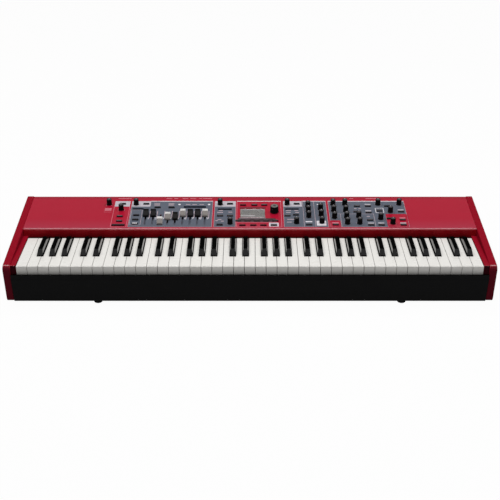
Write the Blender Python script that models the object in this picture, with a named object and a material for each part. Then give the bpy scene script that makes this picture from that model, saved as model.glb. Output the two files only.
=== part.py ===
"""Stage keyboard: 73 waterfall keys, nine drawbars and a sloping control deck between end cheeks.

X runs from the bass end to the treble end, Y from the player to the back, Z up.
The key datum is the middle of the white keys' front edge, level with their tops.
"""
import math

import bmesh
import bpy
from mathutils import Matrix, Vector

mm = 0.001

# Angles: what counts as flat, and the steps that rounded corners are made of
FLAT = math.radians(0.2)
TURN = math.radians(24)
FINE_TURN = math.radians(13)

# Clearances
GAP = 0.3 * mm
SLOT_PLAY = 0.5 * mm

# Keys: pitch, range and the part that shows
OCTAVE = 165.0 * mm
KEY_GAP = 1.0 * mm
FIRST_NOTE = 4
LAST_NOTE = 76
SINGLE_FIRST = 36
SINGLE_LAST = 47
CAP_LENGTH = 151.4 * mm
HEAD_LENGTH = 50.2 * mm
KEY_FACE = 20.2 * mm
FACE_UNDERCUT = 1.0 * mm
UNDERCUT_HEIGHT = 6.0 * mm
FACE_WALL = 4.0 * mm
FRONT_ROUND = 1.5 * mm
WHITE_BODY = 12.0 * mm
WHITE_TAIL_TOP = 7.0 * mm
BLACK_FRONT = 51.2 * mm
BLACK_WIDTH = 13.2 * mm
BLACK_TOP_WIDTH = 9.8 * mm
BLACK_HEIGHT = 13.0 * mm
BLACK_SHOULDER = 2.5 * mm
BLACK_FRONT_SLOPE = 10.9 * mm
BLACK_REAR_SLOPE = 20.0 * mm
BLACK_BODY = 8.0 * mm
BLACK_WEB = 9.0 * mm

# Key pivots, contact lugs and travel
WHITE_PIVOT = (CAP_LENGTH + 86.6 * mm, -13.0 * mm)
BLACK_PIVOT = (CAP_LENGTH + 70.6 * mm, -18.0 * mm)
BARREL_RADIUS = 3.5 * mm
ROD_RADIUS = 3.0 * mm
WHITE_TRAVEL = math.radians(2.4)
BLACK_TRAVEL = math.radians(3.0)
LUG_FRONT = 108.0 * mm
LUG_LENGTH = 10.0 * mm

# Housing
KEY_TOP_HEIGHT = 101.0 * mm
FOOT_HEIGHT = 10.5 * mm
FOOT_RADIUS = 9.5 * mm
FOOT_X = 337.0 * mm
FOOT_INSET = 33.0 * mm
SHEET = 1.5 * mm
BEND_RADIUS = 3.0 * mm
LIP_RADIUS = 5.0 * mm
LIP_SETBACK = 11.6 * mm
LIP_HEIGHT = 17.3 * mm
LIP_DROP = 4.0 * mm
DECK_LENGTH = 158.1 * mm
DECK_SLOPE = math.radians(6.175)
REAR_RETURN = 12.0 * mm
TRAY_RETURN = 8.0 * mm
REAR_FLANGE = 10.0 * mm
CHEEK_THICKNESS = 16.0 * mm
CHEEK_RISE = 1.0 * mm
CHEEK_OVERHANG = 3.0 * mm
CHEEK_LEAN = math.radians(10.6)
NOSE_RADIUS = 11.0 * mm
TOE_RADIUS = 7.0 * mm
HEEL_RADIUS = 3.0 * mm
CHEEK_EDGE = 1.2 * mm
LEDGE_WIDTH = 11.7 * mm
LEDGE_SIDE_GAP = 1.5 * mm
LEDGE_SETBACK = 2.5 * mm
APRON_CLEARANCE = 1.0 * mm
APRON_FLANGE = 12.5 * mm

# Key bed
BED_THICKNESS = 2.0 * mm
BED_PLATE_TOP = -38.0 * mm
FRONT_RAIL_TOP = -33.5 * mm
FRONT_RAIL = (6.0 * mm, 20.0 * mm)
MIDDLE_LEG = 118.0 * mm
CONTACT_BOARD = (LUG_FRONT - 18.0 * mm, LUG_FRONT + 27.0 * mm)
BOARD_THICKNESS = 1.6 * mm
DOME_HEIGHT = 5.0 * mm
DOME_WIDTH = 12.0 * mm
DOME_FLARE = 2.0 * mm

# Knobs: places across and along the deck, measured from the lip
KNOB_RADIUS = 5.7 * mm
KNOB_HEIGHT = 13.7 * mm
KNOB_LIFT = 0.5 * mm
SHAFT_RADIUS = 3.0 * mm
SHAFT_HOLE = 3.8 * mm
DIAL_RADIUS = 9.75 * mm
DIAL_HEIGHT = 16.5 * mm
DIAL_PLACE = (57.6 * mm, 79.5 * mm)
KNOB_ROW = 116.5 * mm
FIXED_KNOBS = {
    "master": [(-334.5 * mm, KNOB_ROW)],
    "rotary": [(-303.5 * mm, 90.0 * mm)],
    "organ": [(-270.4 * mm, KNOB_ROW)],
    "piano": [(-70.7 * mm, KNOB_ROW), (-45.7 * mm, 24.6 * mm)],
    "synth": [(88.6 * mm, KNOB_ROW), (108.0 * mm, 27.2 * mm)],
    "effects": [(225.7 * mm, v * mm) for v in (115.7, 82.5, 52.3, 24.1)]
    + [(254.0 * mm, v * mm) for v in (55.3, 24.6)]
    + [(304.5 * mm, v * mm) for v in (115.7, 46.3)]
    + [(330.5 * mm, v * mm) for v in (79.5, 24.6)]
    + [(354.8 * mm, KNOB_ROW)],
}
SYNTH_KNOBS = (
    [(137.4 * mm, v * mm) for v in (105.2, 81.8, 55.4)]
    + [(166.8 * mm, v * mm) for v in (92.5, 62.4, 28.2)]
    + [(197.4 * mm, v * mm) for v in (114.7, 83.5, 51.3)]
)

# Controls board under the deck
BOARD_DEPTH = 12.0 * mm
BOARD_MARGIN = 10.0 * mm
BOARD_FRONT = 11.0 * mm
BOARD_REAR = 132.0 * mm
POT_SIZE = 9.0 * mm
POT_CLEARANCE = 1.2 * mm
PILLAR = 6.0 * mm
PILLARS = [(u * mm, v * mm) for u in (-345.0, -88.0, 74.0, 212.0, 370.0) for v in (15.0, 128.0)]

# Drawbars: how far each one is pulled towards the player in the rest pose
DRAWBAR_PITCH = 17.29 * mm
DRAWBAR_FIRST = -243.1 * mm
DRAWBAR_HOME = 61.6 * mm
DRAWBAR_TRAVEL = 37.0 * mm
DRAWBAR_PULLED = [0.0, 0.0, 37.0 * mm, 15.0 * mm, 15.0 * mm, 0.0, 0.0, 0.0, 0.0]
DRAWBAR_COLOURS = ["black", "black", "white", "white", "black", "white", "black", "black", "white"]
DRAWBAR_CAP = (13.0 * mm, 15.0 * mm, 11.0 * mm)
DRAWBAR_FRONT = 5.0 * mm
DRAWBAR_EDGE = 1.4 * mm
STEM = (3.2 * mm, 10.0 * mm)
SLIDER = (13.0 * mm, 18.0 * mm, 3.2 * mm)

# Display and its clear window
WINDOW = (-22.7 * mm, 35.5 * mm, 52.3 * mm, 94.5 * mm)
MODULE_MARGIN = 6.0 * mm
MODULE_DEPTH = 7.0 * mm

# Buttons: each pad is plates under the deck that carry caps standing through it
BUTTON = (14.0 * mm, 5.6 * mm)
BUTTON_HEIGHT = 2.6 * mm
BUTTON_DRAFT = 0.4 * mm
BUTTON_TRAVEL = 0.8 * mm
PAD_THICKNESS = 1.2 * mm

# Back panel fittings
JACKS = [-434.0 * mm, -414.0 * mm, -394.0 * mm]
JACK_HEIGHT = 40.0 * mm
JACK_BORE = 3.4 * mm
JACK_BORE_DEPTH = 14.0 * mm
JACK_NUT = 6.0 * mm
JACK_BLOCK_DEPTH = 22.0 * mm
JACK_BLOCK_HEIGHT = 16.0 * mm
JACK_BOARD_DEPTH = 45.0 * mm
FITTING_FACE = 1.5 * mm
INLET_X = 430.0 * mm
INLET_HEIGHT = 42.0 * mm
INLET_SIZE = (58.0 * mm, 30.0 * mm)
INLET_FRAME = 3.0 * mm
INLET_DEPTH = 24.0 * mm
INLET_RECESS = (25.0 * mm, 19.0 * mm, 16.0 * mm)
INLET_RECESS_X = -12.0 * mm
PIN = (2.0 * mm, 4.0 * mm, 8.0 * mm)
PIN_SPREAD = 7.0 * mm
ROCKER_X = 17.0 * mm
ROCKER = (12.0 * mm, 18.0 * mm)
ROCKER_PLAY = 1.3 * mm
ROCKER_PIVOT_DEPTH = 7.0 * mm
ROCKER_THROW = math.radians(20.0)
SUPPLY_LENGTH = 120.0 * mm
SUPPLY_HEIGHT = 34.0 * mm
SUPPLY_FRONT_CLEARANCE = 11.0 * mm
SUPPLY_INLET_CLEARANCE = 21.0 * mm

# Colours as linear red, green, blue, with roughness and metallic
RED_PAINT = ((0.42, 0.022, 0.045), 0.35, 0.0)
RED_WOOD = ((0.30, 0.014, 0.022), 0.38, 0.0)
BLACK_PAINT = ((0.006, 0.006, 0.006), 0.5, 0.0)
IVORY = ((0.78, 0.77, 0.74), 0.25, 0.0)
EBONY = ((0.004, 0.004, 0.004), 0.3, 0.0)
BLACK_PLASTIC = ((0.01, 0.01, 0.011), 0.45, 0.0)
GREY_PLASTIC = ((0.3, 0.3, 0.32), 0.45, 0.0)
RUBBER = ((0.012, 0.012, 0.012), 0.85, 0.0)
STEEL = ((0.5, 0.5, 0.51), 0.35, 1.0)
CIRCUIT_GREEN = ((0.01, 0.12, 0.05), 0.5, 0.0)
SCREEN = ((0.26, 0.27, 0.22), 0.3, 0.0)
CLEAR = ((0.75, 0.78, 0.74), 0.08, 0.0)

# Sizes that follow from the ones above
WHITE_PITCH = OCTAVE / 7
WHITE_STEPS = {0: 0, 2: 1, 4: 2, 5: 3, 7: 4, 9: 5, 11: 6}
C_SHARE = 3 * WHITE_PITCH / 5
F_SHARE = 4 * WHITE_PITCH / 7
BLACK_CENTRES = {
    1: 1.5 * C_SHARE,
    3: 3.5 * C_SHARE,
    6: 3 * WHITE_PITCH + 1.5 * F_SHARE,
    8: 3 * WHITE_PITCH + 3.5 * F_SHARE,
    10: 3 * WHITE_PITCH + 5.5 * F_SHARE,
}
NOTES = range(FIRST_NOTE, LAST_NOTE + 1)
WHITE_NOTES = [note for note in NOTES if note % 12 in WHITE_STEPS]
BLACK_NOTES = [note for note in NOTES if note % 12 not in WHITE_STEPS]
KEYS_HALF = len(WHITE_NOTES) * WHITE_PITCH / 2
LEDGE_INNER = KEYS_HALF + LEDGE_SIDE_GAP
BAY_HALF = LEDGE_INNER + LEDGE_WIDTH
SHEET_HALF = BAY_HALF - GAP
LIP_Y = CAP_LENGTH + LIP_SETBACK
REAR_Y = LIP_Y + DECK_LENGTH * math.cos(DECK_SLOPE)
BODY_BOTTOM = FOOT_HEIGHT - KEY_TOP_HEIGHT
TRAY_FLOOR = BODY_BOTTOM + SHEET
PANEL_FACE = REAR_Y - SHEET - GAP
PANEL_INSIDE = PANEL_FACE - SHEET
FITTING_Y = PANEL_FACE + FITTING_FACE
UNDER_DECK = -SHEET - GAP
LUG_REAR = LUG_FRONT + LUG_LENGTH
LUG_Y = LUG_FRONT + LUG_LENGTH / 2
POT_TOP = UNDER_DECK - PAD_THICKNESS - BUTTON_TRAVEL - POT_CLEARANCE
CONTACT_TOP = BED_PLATE_TOP + GAP + BOARD_THICKNESS + DOME_HEIGHT
APRON_Y = -APRON_CLEARANCE - SHEET
BED_REAR = WHITE_PIVOT[0] + BARREL_RADIUS + GAP + BED_THICKNESS


def deck_height(y):
    """Height of the deck's outer surface over the key datum at a depth y."""
    return LIP_HEIGHT + (y - LIP_Y) * math.tan(DECK_SLOPE)


def rounded(corners, step=TURN):
    """Side-view outline through (y, z, radius) corners, with an arc at each corner that has a radius."""
    points = []
    for index, (y, z, radius) in enumerate(corners):
        corner = Vector((y, z))
        if radius == 0:
            points.append(corner)
            continue
        before = (Vector(corners[index - 1][:2]) - corner).normalized()
        after = (Vector(corners[(index + 1) % len(corners)][:2]) - corner).normalized()
        half = before.angle(after) / 2
        centre = corner + (before + after).normalized() * (radius / math.sin(half))
        start = corner + before * (radius / math.tan(half)) - centre
        end = corner + after * (radius / math.tan(half)) - centre
        first = math.atan2(start.y, start.x)
        turn = (math.atan2(end.y, end.x) - first + math.pi) % (2 * math.pi) - math.pi
        points += arc(centre, radius, first, first + turn, max(1, round(abs(turn) / step)))
    return points


def arc(centre, radius, start, end, steps):
    """Points on an arc of the side view, with angles in radians from the Y axis towards Z."""
    angles = [start + (end - start) * step / steps for step in range(steps + 1)]
    return [Vector((centre[0] + radius * math.cos(a), centre[1] + radius * math.sin(a))) for a in angles]


def sheet_outline(path, thickness):
    """Closed outline of bent sheet whose outer side is the path; the sheet lies on the path's right."""
    inner = []
    for index, point in enumerate(path):
        normals = []
        for a, b in ((index - 1, index), (index, index + 1)):
            if a >= 0 and b < len(path):
                run = (path[b] - path[a]).normalized()
                normals.append(Vector((run.y, -run.x)))
        mean = sum(normals, Vector((0, 0))).normalized()
        inner.append(point + mean * thickness / mean.dot(normals[0]))
    return list(path) + inner[::-1]


def to_mesh(bm):
    """Mesh of a bmesh with its faces pointing out."""
    bmesh.ops.recalc_face_normals(bm, faces=bm.faces)
    mesh = bpy.data.meshes.new("solid")
    bm.to_mesh(mesh)
    bm.free()
    return mesh


def prism(outline, x0, x1):
    """Solid with a side-view outline carried along X from x0 to x1."""
    bm = bmesh.new()
    face = bm.faces.new([bm.verts.new((x0, y, z)) for y, z in outline])
    made = bmesh.ops.extrude_face_region(bm, geom=[face])["geom"]
    moved = [item for item in made if isinstance(item, bmesh.types.BMVert)]
    bmesh.ops.translate(bm, verts=moved, vec=(x1 - x0, 0, 0))
    return to_mesh(bm)


def box(x0, x1, y0, y1, z0, z1):
    """Rectangular solid between two corners."""
    bm = bmesh.new()
    size = Matrix.Diagonal((x1 - x0, y1 - y0, z1 - z0, 1))
    centre = Matrix.Translation(((x0 + x1) / 2, (y0 + y1) / 2, (z0 + z1) / 2))
    bmesh.ops.create_cube(bm, size=1, matrix=centre @ size)
    return to_mesh(bm)


def skin(rings):
    """Solid through a stack of rings that have the same number of corners."""
    bm = bmesh.new()
    rows = [[bm.verts.new(point) for point in ring] for ring in rings]
    count = len(rows[0])
    for low, high in zip(rows, rows[1:]):
        for i in range(count):
            j = (i + 1) % count
            bm.faces.new((low[i], low[j], high[j], high[i]))
    bm.faces.new(rows[0][::-1])
    bm.faces.new(rows[-1])
    return to_mesh(bm)


def turned(profile, sides, place=(0, 0)):
    """Round solid about Z through (radius, height) points, standing at a place in X and Y."""
    rings = []
    for radius, z in profile:
        ring = []
        for side in range(sides):
            angle = 2 * math.pi * (side + 0.5) / sides
            ring.append((place[0] + radius * math.cos(angle), place[1] + radius * math.sin(angle), z))
        rings.append(ring)
    return skin(rings)


def tapered(levels):
    """Solid through rectangles, each given as x0, x1, y0, y1 and its height."""
    return skin([[(x0, y0, z), (x1, y0, z), (x1, y1, z), (x0, y1, z)] for x0, x1, y0, y1, z in levels])


def moved(mesh, matrix):
    """The mesh after a move or a turn."""
    mesh.transform(matrix)
    return mesh


def combine(base, tools, operation):
    """Mesh of the base united with the tools, or cut by them."""
    if not tools:
        return base
    work = bpy.data.objects.new("work", base)
    bpy.context.scene.collection.objects.link(work)
    group = bpy.data.collections.new("tools")
    bpy.context.scene.collection.children.link(group)
    for mesh in tools:
        group.objects.link(bpy.data.objects.new("tool", mesh))
    modifier = work.modifiers.new("combine", "BOOLEAN")
    modifier.operation = operation
    modifier.operand_type = "COLLECTION"
    modifier.collection = group
    modifier.solver = "EXACT"
    depsgraph = bpy.context.evaluated_depsgraph_get()
    bm = bmesh.new()
    bm.from_object(work, depsgraph)
    for item in list(group.objects) + [work]:
        bpy.data.objects.remove(item)
    bpy.data.collections.remove(group)
    bmesh.ops.dissolve_limit(bm, angle_limit=FLAT, verts=bm.verts, edges=bm.edges)
    return to_mesh(bm)


def united(meshes):
    return combine(meshes[0], meshes[1:], "UNION")


def finish(name, look):
    """Material of one piece."""
    colour, roughness, metallic = look
    material = bpy.data.materials.new(name)
    material.use_nodes = True
    shader = material.node_tree.nodes["Principled BSDF"]
    shader.inputs["Base Color"].default_value = (*colour, 1)
    shader.inputs["Roughness"].default_value = roughness
    shader.inputs["Metallic"].default_value = metallic
    if look is CLEAR:
        shader.inputs["Transmission Weight"].default_value = 0.9
    return material


def place(name, mesh, look, parent, origin=(0, 0, 0), smooth=False):
    """Named piece under its parent, with the object's origin at a point of the parent's frame."""
    mesh.transform(Matrix.Translation(-Vector(origin)))
    mesh.name = name
    mesh.materials.clear()
    mesh.materials.append(finish(name, look))
    if smooth:
        mesh.shade_smooth()
        mesh.set_sharp_from_angle(angle=math.radians(35))
    piece = bpy.data.objects.new(name, mesh)
    bpy.context.scene.collection.objects.link(piece)
    piece.parent = parent
    piece.location = origin
    return piece


def empty(name, parent=None, matrix=Matrix()):
    """Guide that carries other objects."""
    guide = bpy.data.objects.new(name, None)
    bpy.context.scene.collection.objects.link(guide)
    guide.parent = parent
    guide.matrix_local = matrix
    return guide


DECK_FRAME = Matrix.Translation((0, LIP_Y, LIP_HEIGHT)) @ Matrix.Rotation(DECK_SLOPE, 4, "X")


# End cheeks
def cheek_outline():
    """Cheek seen from the side: leaning front, big nose radius and a top parallel to the deck."""
    down = Vector((math.sin(CHEEK_LEAN), -math.cos(CHEEK_LEAN)))
    back = Vector((math.cos(DECK_SLOPE), math.sin(DECK_SLOPE)))
    nose_y = NOSE_RADIUS - CHEEK_OVERHANG
    nose_z = deck_height(nose_y) + CHEEK_RISE - NOSE_RADIUS / math.cos(DECK_SLOPE)
    half = down.angle(back) / 2
    corner = Vector((nose_y, nose_z)) - (down + back).normalized() * (NOSE_RADIUS / math.sin(half))
    toe_y = corner.x + (corner.y - BODY_BOTTOM) * math.tan(CHEEK_LEAN)
    return rounded([
        (corner.x, corner.y, NOSE_RADIUS),
        (REAR_Y, deck_height(REAR_Y) + CHEEK_RISE, HEEL_RADIUS),
        (REAR_Y, BODY_BOTTOM, HEEL_RADIUS),
        (toe_y, BODY_BOTTOM, TOE_RADIUS),
    ], step=FINE_TURN), toe_y


def end_cheek(name, side, parent):
    """One cheek with the ledge that fills the space beside the outermost key."""
    outline, _ = cheek_outline()
    plate = prism(outline, side * BAY_HALF, side * (BAY_HALF + CHEEK_THICKNESS))
    bm = bmesh.new()
    bm.from_mesh(plate)
    rims = [edge for edge in bm.edges if abs(edge.verts[0].co.x - edge.verts[1].co.x) < CHEEK_THICKNESS / 2]
    bmesh.ops.bevel(bm, geom=rims, offset=CHEEK_EDGE, segments=1, affect="EDGES")
    plate = to_mesh(bm)
    ledge = rounded([
        (LEDGE_SETBACK, 0, FRONT_ROUND),
        (LIP_Y - GAP, 0, 0),
        (LIP_Y - GAP, -KEY_FACE, 0),
        (LEDGE_SETBACK, -KEY_FACE, 0),
    ])
    block = prism(ledge, side * LEDGE_INNER, side * (BAY_HALF + CHEEK_EDGE + GAP))
    place(name, united([plate, block]), RED_WOOD, parent, smooth=True)


# Sheet metal housing
def top_panel(parent):
    """Bent deck with the lip over the keys, a return at the back and the holes for the controls."""
    path = rounded([
        (LIP_Y, -LIP_DROP, 0),
        (LIP_Y, LIP_HEIGHT, LIP_RADIUS),
        (REAR_Y, deck_height(REAR_Y), BEND_RADIUS),
        (REAR_Y, deck_height(REAR_Y) - REAR_RETURN, 0),
    ], step=FINE_TURN)
    deck = prism(sheet_outline(path, SHEET), -SHEET_HALF, SHEET_HALF)
    through = (-2 * SHEET, SHEET)
    holes = [turned([(SHAFT_HOLE, z) for z in through], 6, spot) for spot in all_knob_places()]
    for name in BUTTONS:
        for u, v, width in BUTTONS[name]:
            half = (width / 2 + SLOT_PLAY, BUTTON[1] / 2 + SLOT_PLAY)
            holes.append(box(u - half[0], u + half[0], v - half[1], v + half[1], *through))
    for index in range(len(DRAWBAR_PULLED)):
        u = DRAWBAR_FIRST + index * DRAWBAR_PITCH
        half = STEM[0] / 2 + SLOT_PLAY
        low = DRAWBAR_HOME - DRAWBAR_TRAVEL - STEM[1] / 2 - SLOT_PLAY
        high = DRAWBAR_HOME + STEM[1] / 2 + SLOT_PLAY
        holes.append(box(u - half, u + half, low, high, *through))
    holes.append(box(*WINDOW, *through))
    holes = [moved(hole, DECK_FRAME) for hole in holes]
    place("top_panel", combine(deck, holes, "DIFFERENCE"), RED_PAINT, parent, smooth=True)


def rear_panel(parent):
    """Back sheet that laps inside the deck's return and the tray's, with holes for the fittings."""
    top = deck_height(PANEL_FACE) - (SHEET + GAP) / math.cos(DECK_SLOPE) - SHEET
    low = TRAY_FLOOR + GAP
    path = rounded([
        (PANEL_FACE, top, 0),
        (PANEL_FACE, low, BEND_RADIUS),
        (PANEL_FACE - REAR_FLANGE, low, 0),
    ])
    sheet = prism(sheet_outline(path, SHEET), -SHEET_HALF, SHEET_HALF)
    holes = [jack_cylinder(x, JACK_NUT + GAP, PANEL_INSIDE - SHEET, PANEL_FACE + SHEET) for x in JACKS]
    half = [size / 2 - INLET_FRAME + GAP for size in INLET_SIZE]
    z = BODY_BOTTOM + INLET_HEIGHT
    holes.append(box(INLET_X - half[0], INLET_X + half[0], PANEL_INSIDE - SHEET, PANEL_FACE + SHEET,
                     z - half[1], z + half[1]))
    place("rear_panel", combine(sheet, holes, "DIFFERENCE"), BLACK_PAINT, parent)


def base_tray(parent):
    """Bottom sheet that bends up at the front into the apron under the keys."""
    _, toe_y = cheek_outline()
    path = rounded([
        (REAR_Y, BODY_BOTTOM + TRAY_RETURN, 0),
        (REAR_Y, BODY_BOTTOM, BEND_RADIUS),
        (toe_y, BODY_BOTTOM, BEND_RADIUS),
        (APRON_Y, -KEY_FACE - GAP - APRON_FLANGE, BEND_RADIUS),
        (APRON_Y, -KEY_FACE - GAP, 0),
    ])
    tray = prism(sheet_outline(path, SHEET), -SHEET_HALF, SHEET_HALF)
    place("base_tray", tray, BLACK_PAINT, parent, smooth=True)


def feet(parent):
    """Four rubber feet, a little wider at the floor."""
    height = FOOT_HEIGHT - GAP
    chamfer = 0.1 * FOOT_HEIGHT
    profile = [
        (FOOT_RADIUS - chamfer, 0),
        (FOOT_RADIUS, chamfer),
        (FOOT_RADIUS - chamfer, height),
    ]
    for depth, y in (("front", FOOT_INSET - CHEEK_OVERHANG), ("rear", REAR_Y - FOOT_INSET)):
        for side, x in (("left", -FOOT_X), ("right", FOOT_X)):
            spot = Vector((x, y, -KEY_TOP_HEIGHT))
            foot = moved(turned(profile, 12), Matrix.Translation(spot))
            place(f"foot_{depth}_{side}", foot, RUBBER, parent, spot, smooth=True)


# Key bed
def keybed_frame(parent):
    """Rolled chassis with a front stop rail and half-round seats for the two rows of pivots."""
    foot = TRAY_FLOOR + GAP
    under = BED_PLATE_TOP - BED_THICKNESS
    seat = BARREL_RADIUS + GAP
    wall = BED_THICKNESS
    black_y, black_z = BLACK_PIVOT
    white_y, white_z = WHITE_PIVOT
    rail_front = black_y - BARREL_RADIUS - GAP - 0.1 * seat
    start = math.radians(-92)
    front, back = FRONT_RAIL
    outline = [(front, under), (front, FRONT_RAIL_TOP), (back, FRONT_RAIL_TOP), (back, BED_PLATE_TOP)]
    outline += [(rail_front, BED_PLATE_TOP), (rail_front, black_z - seat - wall)]
    outline += arc(BLACK_PIVOT, seat, start, 0, 4)
    outline += [(black_y + seat + wall, black_z), (white_y - seat - GAP, white_z - seat - GAP)]
    outline += arc(WHITE_PIVOT, seat, start, 0, 4)
    outline += [(white_y + seat, white_z + seat), (BED_REAR, white_z + seat), (BED_REAR, foot)]
    outline += [(BED_REAR - wall, foot), (BED_REAR - wall, white_z - seat - 1.5 * wall)]
    step = black_y + seat + 2 * wall
    outline += [(step, white_z - seat - 1.5 * wall), (step, black_z - seat - 1.5 * wall)]
    outline += [(rail_front + wall, black_z - seat - 1.5 * wall), (rail_front + wall, foot)]
    outline += [(rail_front, foot), (rail_front, under)]
    for leg in (MIDDLE_LEG, back - wall):
        outline += [(leg + wall, under), (leg + wall, foot), (leg, foot), (leg, under)]
    place("keybed_frame", prism(outline, -SHEET_HALF, SHEET_HALF), STEEL, parent, smooth=True)


def contact_board(parent):
    """Circuit board under the keys with its ridge of rubber contact domes."""
    front, back = CONTACT_BOARD
    low = BED_PLATE_TOP + GAP
    high = low + BOARD_THICKNESS
    crown = DOME_WIDTH / 2
    foot = crown + DOME_FLARE
    outline = [(front, low), (front, high), (LUG_Y - foot, high), (LUG_Y - crown, CONTACT_TOP)]
    outline += [(LUG_Y + crown, CONTACT_TOP), (LUG_Y + foot, high), (back, high), (back, low)]
    half = KEYS_HALF
    place("contact_board", prism(outline, -half, half), CIRCUIT_GREEN, parent)


# Keys
def octave_left(note):
    """Left edge of the C that starts the note's octave."""
    lead = WHITE_STEPS[FIRST_NOTE % 12] * WHITE_PITCH
    return -KEYS_HALF - lead + (note // 12 - FIRST_NOTE // 12) * OCTAVE


def black_x(note):
    return octave_left(note) + BLACK_CENTRES[note % 12]


def white_spans(note):
    """Left and right sides of a white key's head and of its neck between the black keys."""
    left = octave_left(note) + WHITE_STEPS[note % 12] * WHITE_PITCH
    head = (left + KEY_GAP / 2, left + WHITE_PITCH - KEY_GAP / 2)
    reach = BLACK_WIDTH / 2 + KEY_GAP
    low, high = head
    if note - 1 in BLACK_NOTES:
        low = black_x(note - 1) + reach
    if note + 1 in BLACK_NOTES:
        high = black_x(note + 1) - reach
    return head, (low, high)


def lug_bottom(pivot, travel):
    """Height of a contact lug that just meets the domes when its key is right down."""
    return CONTACT_TOP + 2 * GAP + (pivot[0] - LUG_Y) * math.sin(travel)


def white_key(note):
    """White key: a waterfall head with its front face, and a neck and tail that end in the pivot barrel."""
    head, neck = white_spans(note)
    pivot_y, pivot_z = WHITE_PIVOT
    lug = lug_bottom(WHITE_PIVOT, WHITE_TRAVEL)
    lip = UNDERCUT_HEIGHT - KEY_FACE
    head_outline = rounded([
        (0, lip, 0),
        (0, 0, FRONT_ROUND),
        (HEAD_LENGTH, 0, 0),
        (HEAD_LENGTH, -WHITE_BODY, 0),
        (FACE_WALL, -WHITE_BODY, 0),
        (FACE_WALL, -KEY_FACE, 0),
        (FACE_UNDERCUT, -KEY_FACE, 0),
        (FACE_UNDERCUT, lip, 0),
    ], step=math.radians(90))
    fold = pivot_y - 2.5 * BARREL_RADIUS
    neck_outline = [(HEAD_LENGTH - FACE_WALL, 0), (CAP_LENGTH, 0), (CAP_LENGTH, -WHITE_TAIL_TOP)]
    neck_outline += arc(WHITE_PIVOT, BARREL_RADIUS, math.radians(90), math.radians(-112), 4)
    neck_outline += [(fold, -WHITE_BODY), (LUG_REAR, -WHITE_BODY), (LUG_Y, lug)]
    neck_outline += [(LUG_FRONT, -WHITE_BODY), (HEAD_LENGTH - FACE_WALL, -WHITE_BODY)]
    return [prism(head_outline, *head), prism(neck_outline, *neck)]


def black_key(note):
    """Black key: a tapered top on a web whose tail ends in the pivot barrel."""
    x = black_x(note)
    half = BLACK_WIDTH / 2
    top = BLACK_TOP_WIDTH / 2
    rear = CAP_LENGTH - KEY_GAP
    front = BLACK_FRONT
    cap = tapered([
        (x - half, x + half, front, rear, -BLACK_BODY),
        (x - half, x + half, front, rear, BLACK_SHOULDER),
        (x - top, x + top, front + BLACK_FRONT_SLOPE, rear - BLACK_REAR_SLOPE, BLACK_HEIGHT),
    ])
    lug = lug_bottom(BLACK_PIVOT, BLACK_TRAVEL)
    pivot_z = BLACK_PIVOT[1]
    low = pivot_z - BARREL_RADIUS
    web = [(front + FACE_WALL, 0), (rear - BLACK_REAR_SLOPE, 0), (rear + KEY_GAP, -WHITE_TAIL_TOP)]
    web += arc(BLACK_PIVOT, BARREL_RADIUS, math.radians(80), math.radians(-90), 3)
    web += [(LUG_REAR, low + FACE_WALL), (LUG_Y, lug), (LUG_FRONT, low + FACE_WALL)]
    web += [(front + FACE_WALL, low + 2 * FACE_WALL)]
    return [cap, prism(web, x - BLACK_WEB / 2, x + BLACK_WEB / 2)]


def keys(parent):
    """Twelve keys of the middle octave on their own pivots; the rest in four banks on a rod each."""
    names = ["c", "c_sharp", "d", "d_sharp", "e", "f", "f_sharp", "g", "g_sharp", "a", "a_sharp", "b"]
    kinds = (
        ("white", WHITE_NOTES, white_key, WHITE_PIVOT, IVORY),
        ("black", BLACK_NOTES, black_key, BLACK_PIVOT, EBONY),
    )
    for kind, notes, build, pivot, look in kinds:
        for note in notes:
            if SINGLE_FIRST <= note <= SINGLE_LAST:
                solid = united(build(note))
                middle = sum(white_spans(note)[0]) / 2 if kind == "white" else black_x(note)
                place(f"key_{names[note % 12]}4", solid, look, parent, (middle, *pivot))
        for bank, chosen in (
            ("lower", [note for note in notes if note < SINGLE_FIRST]),
            ("upper", [note for note in notes if note > SINGLE_LAST]),
        ):
            pieces = [piece for note in chosen for piece in build(note)]
            xs = [vertex.co.x for piece in pieces for vertex in piece.vertices]
            inset = BLACK_WEB / 2
            length = max(xs) - min(xs) - 2 * inset
            rod = turned([(ROD_RADIUS, 0), (ROD_RADIUS, length)], 4)
            lie = Matrix.Translation((min(xs) + inset, *pivot)) @ Matrix.Rotation(math.pi / 2, 4, "Y")
            solid = united([moved(rod, lie)] + pieces)
            place(f"{kind}_keys_{bank}", solid, look, parent, (0, *pivot))


# Controls on the deck
def row(v, *us, width=BUTTON[0]):
    """Buttons in line across the deck."""
    return [(u * mm, v * mm, width) for u in us]


BUTTONS = {
    "left": row(57.5, -304.2) + row(35.0, -303.1) + row(16.0, -303.6, width=30 * mm)
    + row(62.5, -266.1) + row(41.5, -266.3) + row(22.0, -265.9),
    "organ": row(118.0, -302.4, -246.8) + row(100.5, -218.6, -185.6),
    "piano": row(118.0, -47.1) + row(60.0, -69.6, -46.5) + row(17.5, -69.9),
    "program": row(112.5, -16.1, 10.6, 34.1) + row(36.4, -26.9, -5.4, 16.1, 37.5, 59.0)
    + row(16.0, -17.2, 7.9, 31.0, 55.4),
    "synth": row(118.0, 111.4) + row(60.5, 88.0) + row(64.5, 108.0) + row(18.0, 136.8, 198.0),
    "effects": row(107.0, 253.9, 280.3, 326.0) + row(79.5, 251.0) + row(75.5, 279.1) + row(84.0, 305.0)
    + row(80.0, 356.0) + row(40.0, 279.6) + row(46.5, 325.3) + row(41.0, 355.2)
    + row(17.0, 280.0, 303.8, 354.4),
}
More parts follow.
